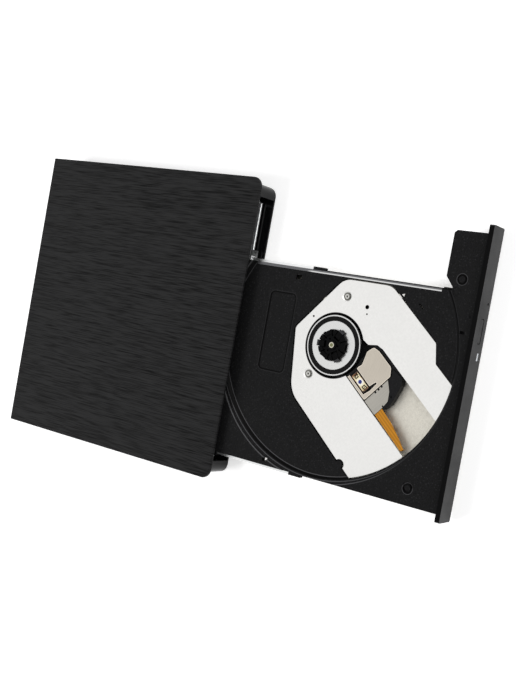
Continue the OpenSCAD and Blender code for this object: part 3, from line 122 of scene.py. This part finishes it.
class Look:
    """A procedural material on the mesh's own coordinates, in metres."""

    def __init__(self, name, base, rough, metal=0.0, spec=0.5, **more):
        self.mat = bpy.data.materials.new(name)
        self.mat.use_nodes = True
        self.tree = self.mat.node_tree
        self.bsdf = self.tree.nodes["Principled BSDF"]
        self.coord = self.add("ShaderNodeTexCoord").outputs["Object"]
        self.normal = None
        self.base = base
        self.mat.diffuse_color = (*base, 1)
        self.put("Base Color", (*base, 1))
        self.put("Roughness", rough)
        self.put("Metallic", metal)
        self.put("Specular IOR Level", spec)
        for key, value in more.items():
            self.put(key.replace("_", " ").title(), value)

    def put(self, socket, value):
        self.bsdf.inputs[socket].default_value = value

    def add(self, kind, **values):
        node = self.tree.nodes.new(kind)
        for key, value in values.items():
            setattr(node, key, value)
        return node

    def join(self, output, socket):
        self.tree.links.new(output, socket)

    def feed(self, socket, value):
        """A number stays on the socket, an output is linked to it."""
        if isinstance(value, (int, float)):
            socket.default_value = value
        else:
            self.join(value, socket)

    def place(self, size, turn=0.0, at=(0, 0, 0)):
        """Coordinates counted in features of the given size, on axes turned about Z."""
        node = self.add("ShaderNodeMapping", vector_type="TEXTURE")
        node.inputs["Location"].default_value = at
        node.inputs["Rotation"].default_value = (0, 0, turn)
        node.inputs["Scale"].default_value = size if isinstance(size, tuple) else (size,) * 3
        self.join(self.coord, node.inputs["Vector"])
        return node.outputs["Vector"]

    def noise(self, size, turn=0.0, detail=2.0, at=(0, 0, 0), vector=None):
        node = self.add("ShaderNodeTexNoise")
        node.inputs["Scale"].default_value = 1.0
        node.inputs["Detail"].default_value = detail
        self.join(vector or self.place(size, turn, at), node.inputs["Vector"])
        return node.outputs["Fac"]

    def cells(self, size, feature="F1", output="Distance"):
        node = self.add("ShaderNodeTexVoronoi", feature=feature)
        node.inputs["Scale"].default_value = 1.0
        self.join(self.place(size), node.inputs["Vector"])
        return node.outputs[output]

    def math(self, op, a, b=0.0):
        node = self.add("ShaderNodeMath", operation=op)
        self.feed(node.inputs[0], a)
        self.feed(node.inputs[1], b)
        return node.outputs[0]

    def remap(self, value, low, high, to_low=0.0, to_high=1.0):
        node = self.add("ShaderNodeMapRange")
        for key, v in zip(("From Min", "From Max", "To Min", "To Max"), (low, high, to_low, to_high)):
            node.inputs[key].default_value = v
        self.join(value, node.inputs["Value"])
        return node.outputs["Result"]

    def mix(self, factor, a, b):
        node = self.add("ShaderNodeMix", data_type="RGBA")
        self.feed(node.inputs["Factor"], factor)
        for socket, colour in ((node.inputs[6], a), (node.inputs[7], b)):
            if isinstance(colour, tuple):
                socket.default_value = (*colour, 1)
            else:
                self.join(colour, socket)
        return node.outputs[2]

    def colour(self, output):
        self.join(output, self.bsdf.inputs["Base Color"])

    def tint(self, factor, dark, light):
        """Colour between two shades of the base."""
        self.colour(self.mix(factor, times(self.base, dark), times(self.base, light)))

    def rough(self, value, low, high):
        """Roughness between two values, led by a noise."""
        self.join(self.remap(value, *NOISE_RANGE, low, high), self.bsdf.inputs["Roughness"])

    def bump(self, height, depth):
        """Relief of the given depth, added to any relief before it."""
        node = self.add("ShaderNodeBump")
        node.inputs["Strength"].default_value = 1.0
        node.inputs["Distance"].default_value = depth
        self.join(height, node.inputs["Height"])
        if self.normal is not None:
            self.join(self.normal, node.inputs["Normal"])
        self.normal = node.outputs["Normal"]
        self.join(self.normal, self.bsdf.inputs["Normal"])

    def axes(self, turn=0.0, at=(0, 0)):
        """Distances along X and Y from a place, on axes turned about Z."""
        split = self.add("ShaderNodeSeparateXYZ")
        self.join(self.place(1.0, turn, (*at, 0)), split.inputs[0])
        return split.outputs[0], split.outputs[1]

    def radius(self, centre=HUB):
        """Distance from an upright axis, in metres."""
        flat = self.add("ShaderNodeCombineXYZ")
        for output, socket in zip(self.axes(at=centre), flat.inputs):
            self.join(output, socket)
        length = self.add("ShaderNodeVectorMath", operation="LENGTH")
        self.join(flat.outputs[0], length.inputs[0])
        return length.outputs["Value"]

    def band(self, value, low, high, soft):
        """1 between two limits, 0 outside."""
        rise = self.remap(value, low - soft, low)
        return self.math("MULTIPLY", rise, self.remap(value, high + soft, high))

    def nearest_radius(self, centres):
        """Distance from the nearer of two upright axes."""
        return self.math("MINIMUM", *(self.radius(centre) for centre in centres))

    def panel_edge(self, at, half, corner):
        """Distance outward from the edge of a rounded rectangle."""
        over = [
            self.math("SUBTRACT", self.math("ABSOLUTE", axis), size - corner)
            for axis, size in zip(self.axes(at=at), half)
        ]
        out = [self.math("POWER", self.math("MAXIMUM", axis, 0.0), 2.0) for axis in over]
        inside = self.math("MINIMUM", self.math("MAXIMUM", *over), 0.0)
        round_out = self.math("POWER", self.math("ADD", *out), 0.5)
        return self.math("SUBTRACT", self.math("ADD", round_out, inside), corner)

    def slope(self):
        """Upward part of the surface's direction: 1 on level faces, 0 on upright ones."""
        split = self.add("ShaderNodeSeparateXYZ")
        self.join(self.add("ShaderNodeNewGeometry").outputs["Normal"], split.inputs[0])
        return split.outputs[2]

    def edges(self, width):
        """1 near the piece's edges, 0 on its faces."""
        bevel = self.add("ShaderNodeBevel", samples=8)
        bevel.inputs["Radius"].default_value = width
        dot = self.add("ShaderNodeVectorMath", operation="DOT_PRODUCT")
        self.join(bevel.outputs["Normal"], dot.inputs[0])
        self.join(self.add("ShaderNodeNewGeometry").outputs["Normal"], dot.inputs[1])
        return self.remap(dot.outputs["Value"], 0.995, 0.93)

    def rings(self, pitch):
        """Turned rings about the disc axis."""
        line = self.add("ShaderNodeCombineXYZ")
        self.join(self.math("DIVIDE", self.radius(), pitch), line.inputs[0])
        return self.noise(1.0, vector=line.outputs[0], detail=1.0)


def brushed_cover():
    """Dark sheet brushed from front to back."""
    look = Look("brushed_cover", (0.0148, 0.0148, 0.0151), 0.42, spec=0.06)
    fine = look.noise((0.3 * MM, 11 * MM, 11 * MM), detail=1)
    broad = look.noise((0.55 * MM, 32 * MM, 20 * MM), detail=1, at=(0.3, 0, 0))
    lines = look.math("ADD", look.math("MULTIPLY", fine, 0.75), look.math("MULTIPLY", broad, 0.25))
    look.tint(look.remap(lines, 0.34, 0.56), 0.1, 1.4)
    look.rough(fine, 0.36, 0.56)
    look.bump(fine, 0.006 * MM)
    return look.mat


def gloss_shell():
    """Polished black plastic with a faint haze."""
    look = Look(
        "gloss_shell", (0.003, 0.003, 0.0033), 0.16, spec=0.14, coat_weight=0.03, coat_roughness=0.06
    )
    haze = look.noise(22 * MM, detail=4)
    look.rough(haze, 0.1, 0.2)
    look.tint(look.cells(0.9 * MM), 0.9, 1.25)
    look.bump(look.noise(1.8 * MM), 0.003 * MM)
    return look.mat


def grained(look, grain, specks):
    """Colour and height of a moulding's grain, with fine pale specks."""
    fine = look.noise(grain, detail=4)
    speck = look.remap(look.cells(grain * 2.6), 0.3, 0.1)
    shade = look.mix(look.remap(fine, 0.32, 0.68), times(look.base, 0.6), times(look.base, 1.4))
    return look.mix(look.math("MULTIPLY", speck, 0.7), shade, times(look.base, specks)), fine


def paint_wall_shade_and_edge_highlight(look, shade, wall, edge):
    """Painted shade darkens steep walls, and a painted highlight lightens their rounded edges."""
    up = look.slope()
    shade = look.mix(look.remap(up, 0.82, 0.74), shade, times(look.base, wall))
    return look.mix(look.band(up, 0.84, 0.96, 0.03), shade, times(look.base, edge))


def finish_moulding(look, shade, fine, rough, depth):
    """Gives a moulding its colour, its uneven sheen and its grain."""
    look.colour(shade)
    look.rough(look.noise(14 * MM, detail=3), rough - 0.06, rough + 0.1)
    look.bump(fine, depth)
    return look.mat


def moulded(name, base, rough, grain, depth, spec=0.35, specks=3.2, wall=None, edge=None, top=None):
    """Textured injection-moulded plastic, with optional painted shade on steep walls and level faces and
    painted highlights on edges.
    """
    look = Look(name, base, rough, spec=spec)
    shade, fine = grained(look, grain, specks)
    # Painted shade on steep walls and painted highlights on their edges
    if wall:
        shade = paint_wall_shade_and_edge_highlight(look, shade, wall, edge)
    if top:
        # Painted shade darkens level faces, and their specular level drops too
        up = look.slope()
        shade = look.mix(look.remap(up, 0.85, 0.95), shade, times(base, top))
        look.join(look.remap(up, 0.85, 0.95, spec, spec * top), look.bsdf.inputs["Specular IOR Level"])
    return finish_moulding(look, shade, fine, rough, depth)


def tray_plastic():
    """The tray's moulding, with painted highlights and painted shade along the recess, the panel and the
    dimples.
    """
    look = Look("tray_plastic", (0.008, 0.008, 0.0083), 0.5, spec=0.055)
    shade, fine = grained(look, 0.5 * MM, 3.2)
    # Painted shade on the recess walls and painted highlights on edges
    shade = paint_wall_shade_and_edge_highlight(look, shade, 0.12, 12)
    panel = look.panel_edge(PANEL_AT, PANEL_HALF, PANEL_ROUND)
    dimple = look.nearest_radius(DIMPLES)
    out = look.radius()
    # Painted shade darkens the mechanism opening's edge, and the painted highlights round the recess are
    # strongest at its back left
    in_recess = look.remap(out, RECESS_FOOT - 0.4 * MM, RECESS_FOOT - 0.8 * MM)
    opening_shade = look.math("MULTIPLY", look.remap(look.slope(), 0.98, 0.94), in_recess)
    across, along = look.axes(at=HUB)
    highlight_strength = look.remap(look.math("SUBTRACT", along, across), -10 * MM, 50 * MM, 0.12, 1.0)
    # Painted shade just inside the panel's edge and round the dimples, painted highlights on their outer
    # edges, painted shade at the opening's edge
    lines = (
        (look.band(panel, -0.7 * MM, -0.2 * MM, 0.15 * MM), 0.15),
        (look.band(panel, 0.0, 0.25 * MM, 0.15 * MM), 2.4),
        (look.band(dimple, 1.5 * MM, 2.3 * MM, 0.1 * MM), 0.15),
        (look.band(dimple, 2.4 * MM, 2.6 * MM, 0.1 * MM), 6),
        (opening_shade, 0.08),
    )
    # Painted highlights round the recess foot, its top and its shallow second step
    rim_highlights = (
        (look.band(out, RECESS_FOOT - 0.35 * MM, RECESS_FOOT - 0.05 * MM, 0.1 * MM), 8),
        (look.band(out, RECESS_RIM, RECESS_RIM + 0.25 * MM, 0.1 * MM), 9),
        (look.band(look.radius(STEP_AT), STEP_R, STEP_R + 0.3 * MM, 0.1 * MM), 11),
    )
    for line, k in lines:
        shade = look.mix(line, shade, times(look.base, k))
    for line, k in rim_highlights:
        shade = look.mix(look.math("MULTIPLY", line, highlight_strength), shade, times(look.base, k))
    return finish_moulding(look, shade, fine, 0.5, 0.02 * MM)


def steel(name, base, rough, line, turn=0.0, stains=0.05, edge=None):
    """Rolled or brushed sheet with hairlines along the second axis, and an optional painted highlight on
    its edges.
    """
    look = Look(name, base, rough, metal=1.0)
    hair = look.noise((line, line * 40, line * 40), turn, detail=3)
    cloud = look.noise(16 * MM, detail=4)
    both = look.math("ADD", look.math("MULTIPLY", hair, 0.7), look.math("MULTIPLY", cloud, 0.3))
    shade = look.mix(look.remap(both, 0.35, 0.65), times(base, 1 - 2 * stains), times(base, 1 + stains))
    # Painted highlight along the piece's edges
    if edge:
        shade = look.mix(look.edges(0.45 * MM), shade, times(base, edge))
    look.colour(shade)
    look.rough(hair, rough - 0.08, rough + 0.1)
    look.bump(hair, 0.003 * MM)
    return look.mat


def mech_plate():
    """Bright rolled sheet with a faint weave, with painted shade in the gaps round its screws and its
    hole.
    """
    look = Look("plate_steel", (0.74, 0.735, 0.72), 0.42, metal=1.0)
    turns = (SLED_TURN, SLED_TURN + math.pi / 2)
    weave = [look.noise((0.7 * MM, 1.6 * MM, 2 * MM), turn, detail=1) for turn in turns]
    both = look.math("MULTIPLY", look.math("ADD", *weave), 0.5)
    cloud = look.noise(16 * MM, detail=4)
    shade = look.mix(look.remap(both, 0.38, 0.62), times(look.base, 0.965), times(look.base, 1.02))
    shade = look.mix(look.remap(cloud, 0.4, 0.7, 0.0, 0.3), shade, times(look.base, 0.94))
    # Painted shade in the gap round each screw
    ring = look.band(look.nearest_radius(SCREWS), 1.5 * MM, 1.85 * MM, 0.1 * MM)
    shade = look.mix(look.math("MULTIPLY", ring, 0.75), shade, (0.12, 0.115, 0.1))
    # Painted shade in the gap at the hole's rim
    rim = look.remap(look.radius(HOLE_RIM_AT), HOLE_RIM_R, HOLE_RIM_R - 0.1 * MM)
    look.colour(look.mix(rim, shade, (0.01, 0.01, 0.01)))
    look.rough(both, 0.36, 0.5)
    look.bump(both, 0.004 * MM)
    return look.mat


def runner_steel():
    """Rolled strip, bright along its inner edge in front of the right rail and dark grey elsewhere, with
    painted shade where the rail passes it.
    """
    look = Look("runner_steel", (0.62, 0.62, 0.615), 0.34, metal=1.0)
    across, along = look.axes()
    hair = look.noise((0.2 * MM, 8 * MM, 8 * MM), detail=3)
    inner = look.remap(across, RUNNER_BRIGHT_X + 0.1 * MM, RUNNER_BRIGHT_X - 0.1 * MM)
    front = look.remap(along, RUNNER_BRIGHT_Y + 3 * MM, RUNNER_BRIGHT_Y)
    bright = look.mix(hair, times(look.base, 0.85), times(look.base, 1.1))
    # Dark grey beside the bright edge, and painted shade behind the rail's front end
    dark_and_painted_shade = look.mix(hair, (0.09, 0.09, 0.095), (0.16, 0.16, 0.165))
    look.colour(look.mix(look.math("MULTIPLY", inner, front), dark_and_painted_shade, bright))
    look.bump(hair, 0.003 * MM)
    return look.mat


def screw_head():
    """Plated head with painted shade in its driver recess and in a ring near its rim."""
    look = Look("screw_head", (0.55, 0.545, 0.52), 0.3, metal=1.0)
    out = look.nearest_radius(SCREWS)
    grain = look.noise(0.3 * MM, detail=3)
    shade = look.mix(grain, times(look.base, 0.85), times(look.base, 1.1))
    # Painted shade in the driver recess and in a ring near the head's rim
    shade = look.mix(look.remap(out, 0.55 * MM, 0.3 * MM), shade, (0.05, 0.048, 0.04))
    look.colour(look.mix(look.band(out, 1.2 * MM, 1.6 * MM, 0.12 * MM), shade, (0.1, 0.097, 0.085)))
    look.bump(grain, 0.006 * MM)
    return look.mat


def shaft_end():
    """Turned shaft with a dark greenish centre and a paler turned rim."""
    look = Look("shaft_metal", (0.55, 0.53, 0.44), 0.32, metal=1.0)
    rings = look.rings(0.12 * MM)
    shade = look.mix(rings, times(look.base, 0.8), times(look.base, 1.1))
    dark_centre = look.mix(look.noise(0.4 * MM, detail=2), (0.1, 0.105, 0.05), (0.26, 0.27, 0.15))
    look.colour(look.mix(look.remap(look.radius(), 0.95 * MM, 0.8 * MM), shade, dark_centre))
    look.bump(rings, 0.003 * MM)
    return look.mat


def turned(name, base, rough, pitch):
    """Metal turned about the disc axis."""
    look = Look(name, base, rough, metal=1.0)
    rings = look.rings(pitch)
    look.tint(rings, 0.86, 1.1)
    look.rough(rings, rough - 0.08, rough + 0.1)
    look.bump(rings, 0.003 * MM)
    return look.mat


def spangled(name, base, rough, size=2.4 * MM, dark=0.88, light=1.06):
    """Galvanised sheet with a faint crystal pattern."""
    look = Look(name, base, rough, metal=1.0)
    crystal = look.add("ShaderNodeSeparateColor")
    look.join(look.cells(size, output="Color"), crystal.inputs[0])
    look.tint(crystal.outputs[0], dark, light)
    look.rough(look.noise(1.5 * MM, detail=3), rough - 0.08, rough + 0.12)
    look.bump(look.noise(0.5 * MM), 0.004 * MM)
    return look.mat


def rubber():
    """Dull black rubber."""
    look = Look("rubber", (0.007, 0.007, 0.0071), 0.72, spec=0.06)
    fine = look.noise(0.3 * MM, detail=4)
    look.tint(fine, 0.7, 1.35)
    look.rough(look.noise(4 * MM), 0.62, 0.82)
    look.bump(fine, 0.012 * MM)
    return look.mat


def circuit_board():
    """Green board with tracks and tinned holes."""
    look = Look("circuit_board", (0.018, 0.11, 0.045), 0.3, spec=0.5, coat_weight=0.3)
    track = look.remap(look.cells((1.6 * MM, 0.7 * MM, 1.6 * MM), feature="DISTANCE_TO_EDGE"), 0.03, 0.1)
    via = look.remap(look.cells(1.9 * MM), 0.1, 0.07)
    shade = look.mix(track, (0.035, 0.19, 0.08), (0.014, 0.085, 0.035))
    look.colour(look.mix(via, shade, (0.62, 0.56, 0.4)))
    look.bump(track, 0.01 * MM)
    return look.mat


def striped(name, base, rough, across, turn, dark, **more):
    """Flat cable with conductors side by side."""
    look = Look(name, base, rough, **more)
    wave = look.add("ShaderNodeTexWave", wave_type="BANDS", bands_direction="Y")
    wave.inputs["Scale"].default_value = 1.0
    wave.inputs["Distortion"].default_value = 0.0
    # A band texture repeats every tau / 20 of its coordinate
    look.join(look.place((1.0, across * 20 / math.tau, 1.0), turn), wave.inputs["Vector"])
    lines = look.remap(wave.outputs["Fac"], 0.25, 0.6)
    cloud = look.noise(3 * MM, detail=3)
    shade = look.mix(cloud, times(base, 0.85), times(base, 1.15))
    look.colour(look.mix(lines, times(base, dark), shade))
    look.bump(lines, 0.01 * MM)
    return look.mat


def coil():
    """Wound copper wire."""
    look = Look("coil", (0.3, 0.12, 0.04), 0.4, metal=0.6)
    turns = look.noise((0.18 * MM, 6 * MM, 6 * MM), detail=1)
    look.tint(turns, 0.5, 1.4)
    look.bump(turns, 0.03 * MM)
    return look.mat


def lens_glass():
    """Blue coated glass in a pale flange."""
    look = Look("lens_glass", (0.006, 0.018, 0.2), 0.08, spec=0.3, coat_weight=0.2, coat_roughness=0.03)
    out = look.radius(LENS)
    cloud = look.remap(look.noise(0.9 * MM, detail=1), 0.3, 0.7)
    blue = look.mix(cloud, (0.003, 0.008, 0.11), (0.01, 0.03, 0.27))
    look.colour(look.mix(look.remap(out, 0.85 * MM, 1.0 * MM), blue, (0.84, 0.82, 0.75)))
    return look.mat


def lens_holder():
    """Cream moulding with a dark window at each end and copper coils round its edge."""
    look = Look("lens_holder", (0.8, 0.71, 0.46), 0.4, spec=0.35)
    along, across = (look.math("ABSOLUTE", axis) for axis in look.axes(SLED_TURN, LENS))
    out = look.math("MAXIMUM", look.math("DIVIDE", along, 5.0 * MM), look.math("DIVIDE", across, 1.9 * MM))
    end = look.math("ABSOLUTE", look.math("SUBTRACT", along, 3.2 * MM))
    window = look.math("MAXIMUM", end, across)
    grain = look.noise(0.5 * MM, detail=3)
    shade = look.mix(grain, (0.7, 0.61, 0.39), (0.86, 0.78, 0.53))
    shade = look.mix(look.remap(look.radius(LENS), 1.9 * MM, 1.5 * MM), shade, (0.88, 0.86, 0.78))
    shade = look.mix(look.band(window, 0.5 * MM, 0.95 * MM, 0.08 * MM), shade, (0.02, 0.016, 0.01))
    turns = look.noise((3 * MM, 3 * MM, 0.09 * MM), detail=1)
    copper = look.mix(look.remap(turns, 0.4, 0.6), (0.06, 0.028, 0.015), (0.42, 0.19, 0.08))
    shade = look.mix(look.remap(out, 0.8, 0.85), shade, copper)
    look.colour(look.mix(look.remap(out, 0.88, 0.94), shade, (0.015, 0.011, 0.008)))
    look.bump(turns, 0.01 * MM)
    return look.mat


def led_lens():
    """Milky light guide."""
    look = Look("led_lens", (0.82, 0.86, 0.9), 0.18, transmission_weight=0.25)
    look.tint(look.noise(1.2 * MM, detail=2), 0.9, 1.06)
    look.bump(look.noise(0.4 * MM), 0.004 * MM)
    return look.mat


# A look for each material slot, and for the nodes that differ from their slot
LOOKS = {
    "brushed_cover": brushed_cover(),
    "gloss_shell": gloss_shell(),
    "rubber": rubber(),
    "screw_steel": steel("screw_steel", (0.5, 0.5, 0.51), 0.3, 0.12 * MM),
    "chassis_steel": spangled("chassis_steel", (0.72, 0.725, 0.73), 0.46),
    # Black plastic and the hub get painted shade on steep walls and painted highlights on edges
    "black_plastic": moulded(
        "black_plastic", (0.008, 0.008, 0.0085), 0.4, 0.25 * MM, 0.008 * MM, spec=0.07, wall=0.6, edge=10
    ),
    "hub_plastic": moulded(
        "hub_plastic", (0.003, 0.003, 0.0032), 0.3, 0.4 * MM, 0.01 * MM,
        spec=0.03, specks=2, wall=0.4, edge=14,
    ),
    "tray_plastic": tray_plastic(),
    # Painted shade darkens the bezel's level faces
    "bezel_plastic": moulded(
        "bezel_plastic", (0.014, 0.014, 0.0146), 0.4, 0.34 * MM, 0.012 * MM, spec=0.17, specks=2, top=0.2
    ),
    # Black coated steel of the traverse and the motor base, dark also as painted shade in the gap round
    # the turntable
    "dark_steel": moulded(
        "dark_steel", (0.008, 0.008, 0.0083), 0.55, 0.3 * MM, 0.006 * MM, spec=0.06, specks=2
    ),
    "circuit_board": circuit_board(),
    "chip": moulded("chip", (0.012, 0.012, 0.013), 0.5, 0.2 * MM, 0.006 * MM),
    "ribbon": striped("ribbon", (0.74, 0.76, 0.78), 0.35, 1.0 * MM, math.pi / 2, 0.75),
    "plate_steel": mech_plate(),
    "slot_floor": spangled("slot_floor", (0.63, 0.605, 0.54), 0.5, 0.28 * MM, 0.9, 1.05),
    "turntable_metal": turned("turntable_metal", (0.62, 0.622, 0.615), 0.3, 0.16 * MM),
    # Painted highlights on the pickup cover's edges
    "pickup_metal": steel("pickup_metal", (0.5, 0.455, 0.39), 0.36, 0.22 * MM, SLED_TURN + 0.5, edge=1.75),
    "pickup_lower": steel("pickup_lower", (0.37, 0.355, 0.32), 0.42, 0.3 * MM, SLED_TURN, stains=0.06),
    "bright_steel": steel("bright_steel", (0.78, 0.785, 0.785), 0.34, 0.2 * MM),
    "led_lens": led_lens(),
    "cream_plastic": moulded("cream_plastic", (0.8, 0.71, 0.46), 0.4, 0.4 * MM, 0.006 * MM, specks=1.1),
    "lens_holder": lens_holder(),
    "lens_glass": lens_glass(),
    # The flex's dark stripes are conductors and also painted shade across its folds
    "flex": striped("flex", (0.5, 0.21, 0.02), 0.4, 1.3 * MM, SLED_TURN, 0.7, spec=0.15),
    "coil": coil(),
    "shaft_metal": shaft_end(),
    "screw_head": screw_head(),
    "runner_steel": runner_steel(),
}
SPECIAL = {
    "clamp_hub": "hub_plastic",
    "clamp_claw_1": "hub_plastic",
    "clamp_claw_2": "hub_plastic",
    "clamp_claw_3": "hub_plastic",
    "tray_bottom_plate": "slot_floor",
    "pickup_plate": "pickup_lower",
    "lens_holder": "lens_holder",
    "mech_plate_screws": "screw_head",
    "right_runner": "runner_steel",
}
# Width of the broken edges in millimetres, where it isn't the usual one
EDGE_MM = {
    "top_cover": 0.25,
    "base_shell": 0.4,
    "tray_frame": 0.12,
    "tray_bezel": 0.3,
    "pickup_cover": 0.14,
}
USUAL_EDGE_MM = 0.08
# Edges that turn by more than this are broken
EDGE_TURN = math.radians(40)


def dress_nodes():
    """Gives each CAD node its look and softens its edges."""
    slots = {p["node"]: p["material_slot"] for p in frame["record"]["subparts"]}
    for name, obj in frame["nodes"].items():
        look = LOOKS[SPECIAL.get(name, slots[name])]
        obj.data.materials.clear()
        obj.data.materials.append(look)
        bevel = obj.modifiers.new("edges", "BEVEL")
        bevel.width = EDGE_MM.get(name, USUAL_EDGE_MM) * MM
        bevel.segments = 2
        bevel.limit_method = "ANGLE"
        bevel.angle_limit = EDGE_TURN


def shortening(node, name, body):
    """A copy of a node's strip in its place, attached to a body, with the node hidden."""
    piece = bpy.data.objects.new(name, frame["nodes"][node].data.copy())
    scene.collection.objects.link(piece)
    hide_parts(node)
    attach(piece, body)
    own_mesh(piece)


def make_flexible():
    """Copies of the ribbon and the flex, attached to the case and to the pickup."""
    shortening("tray_ribbon", "ribbon_strip", "case")
    shortening("pickup_flex", "flex_strip", "pickup")


def combine(tree, op, a, b):
    """A math node on two outputs, or on an output and a number."""
    node = tree.nodes.new("ShaderNodeMath")
    node.operation = op
    for socket, value in zip(node.inputs, (a, b)):
        if isinstance(value, float):
            socket.default_value = value
        else:
            tree.links.new(value, socket)
    return node.outputs[0]


def make_world():
    """White to the eye, brighter towards the back in mirrors, and dim on matt surfaces."""
    world = bpy.data.worlds.new("studio")
    scene.world = world
    world.use_nodes = True
    tree = world.node_tree
    sky = tree.nodes["Background"]
    sky.inputs["Color"].default_value = (1, 1, 1, 1)
    path = tree.nodes.new("ShaderNodeLightPath").outputs
    coord = tree.nodes.new("ShaderNodeTexCoord")
    dot = tree.nodes.new("ShaderNodeVectorMath")
    dot.operation = "DOT_PRODUCT"
    dot.inputs[1].default_value = Vector(SKY_BACK).normalized()
    tree.links.new(coord.outputs["Generated"], dot.inputs[0])
    level = tree.nodes.new("ShaderNodeMapRange")
    for key, value in zip(("From Min", "From Max", "To Min", "To Max"), (*SKY_RISE, *SKY_MIRROR)):
        level.inputs[key].default_value = value
    tree.links.new(dot.outputs["Value"], level.inputs["Value"])
    seen = combine(tree, "MAXIMUM", path["Is Camera Ray"], path["Is Transmission Ray"])
    mirrored = combine(tree, "MULTIPLY", path["Is Glossy Ray"], level.outputs["Result"])
    strength = combine(tree, "MAXIMUM", combine(tree, "MAXIMUM", seen, mirrored), SKY_MATT)
    tree.links.new(strength, sky.inputs["Strength"])


def make_floor():
    """A pale floor that keeps shadows and looks white to the eye, in mirrors and through glass."""
    mesh = bpy.data.meshes.new("floor")
    s = FLOOR_HALF
    mesh.from_pydata([(-s, -s, 0), (s, -s, 0), (s, s, 0), (-s, s, 0)], [], [(0, 1, 2, 3)])
    floor = bpy.data.objects.new("floor", mesh)
    scene.collection.objects.link(floor)
    floor.location.z = -FLOOR_DROP
    mat = bpy.data.materials.new("floor")
    mat.use_nodes = True
    tree = mat.node_tree
    tree.nodes.clear()
    diffuse = tree.nodes.new("ShaderNodeBsdfDiffuse")
    diffuse.inputs["Color"].default_value = (FLOOR_GREY, FLOOR_GREY, FLOOR_GREY, 1)
    glow = tree.nodes.new("ShaderNodeEmission")
    path = tree.nodes.new("ShaderNodeLightPath").outputs
    mirrored = combine(tree, "MAXIMUM", path["Is Glossy Ray"], path["Is Transmission Ray"])
    seen = combine(tree, "MAXIMUM", path["Is Camera Ray"], mirrored)
    tree.links.new(combine(tree, "MULTIPLY", seen, FLOOR_GLOW), glow.inputs["Strength"])
    both = tree.nodes.new("ShaderNodeAddShader")
    tree.links.new(diffuse.outputs[0], both.inputs[0])
    tree.links.new(glow.outputs[0], both.inputs[1])
    out = tree.nodes.new("ShaderNodeOutputMaterial")
    tree.links.new(both.outputs[0], out.inputs["Surface"])
    mesh.materials.append(mat)


def softbox(name, at, aim, size, watts, mirrored=True):
    """A square lamp that faces a point, shown in mirrors or not."""
    data = bpy.data.lights.new(name, "AREA")
    data.size = size
    data.energy = watts
    lamp = bpy.data.objects.new(name, data)
    scene.collection.objects.link(lamp)
    lamp.location = at
    lamp.rotation_mode = "QUATERNION"
    lamp.rotation_quaternion = (Vector(aim) - Vector(at)).to_track_quat("-Z", "Y")
    lamp.visible_glossy = mirrored


make_camera()
make_world()
make_floor()
softbox("key", at=(0.75, -0.55, 0.75), aim=(0, -0.03, 0), size=0.6, watts=4.0)
softbox("back", at=(-0.35, 0.6, 0.9), aim=(0, -0.06, 0), size=0.45, watts=8.0, mirrored=False)
softbox("fill", at=(0.12, -0.95, 0.6), aim=(0.03, 0, 0), size=0.5, watts=3.5)
dress_nodes()
make_flexible()
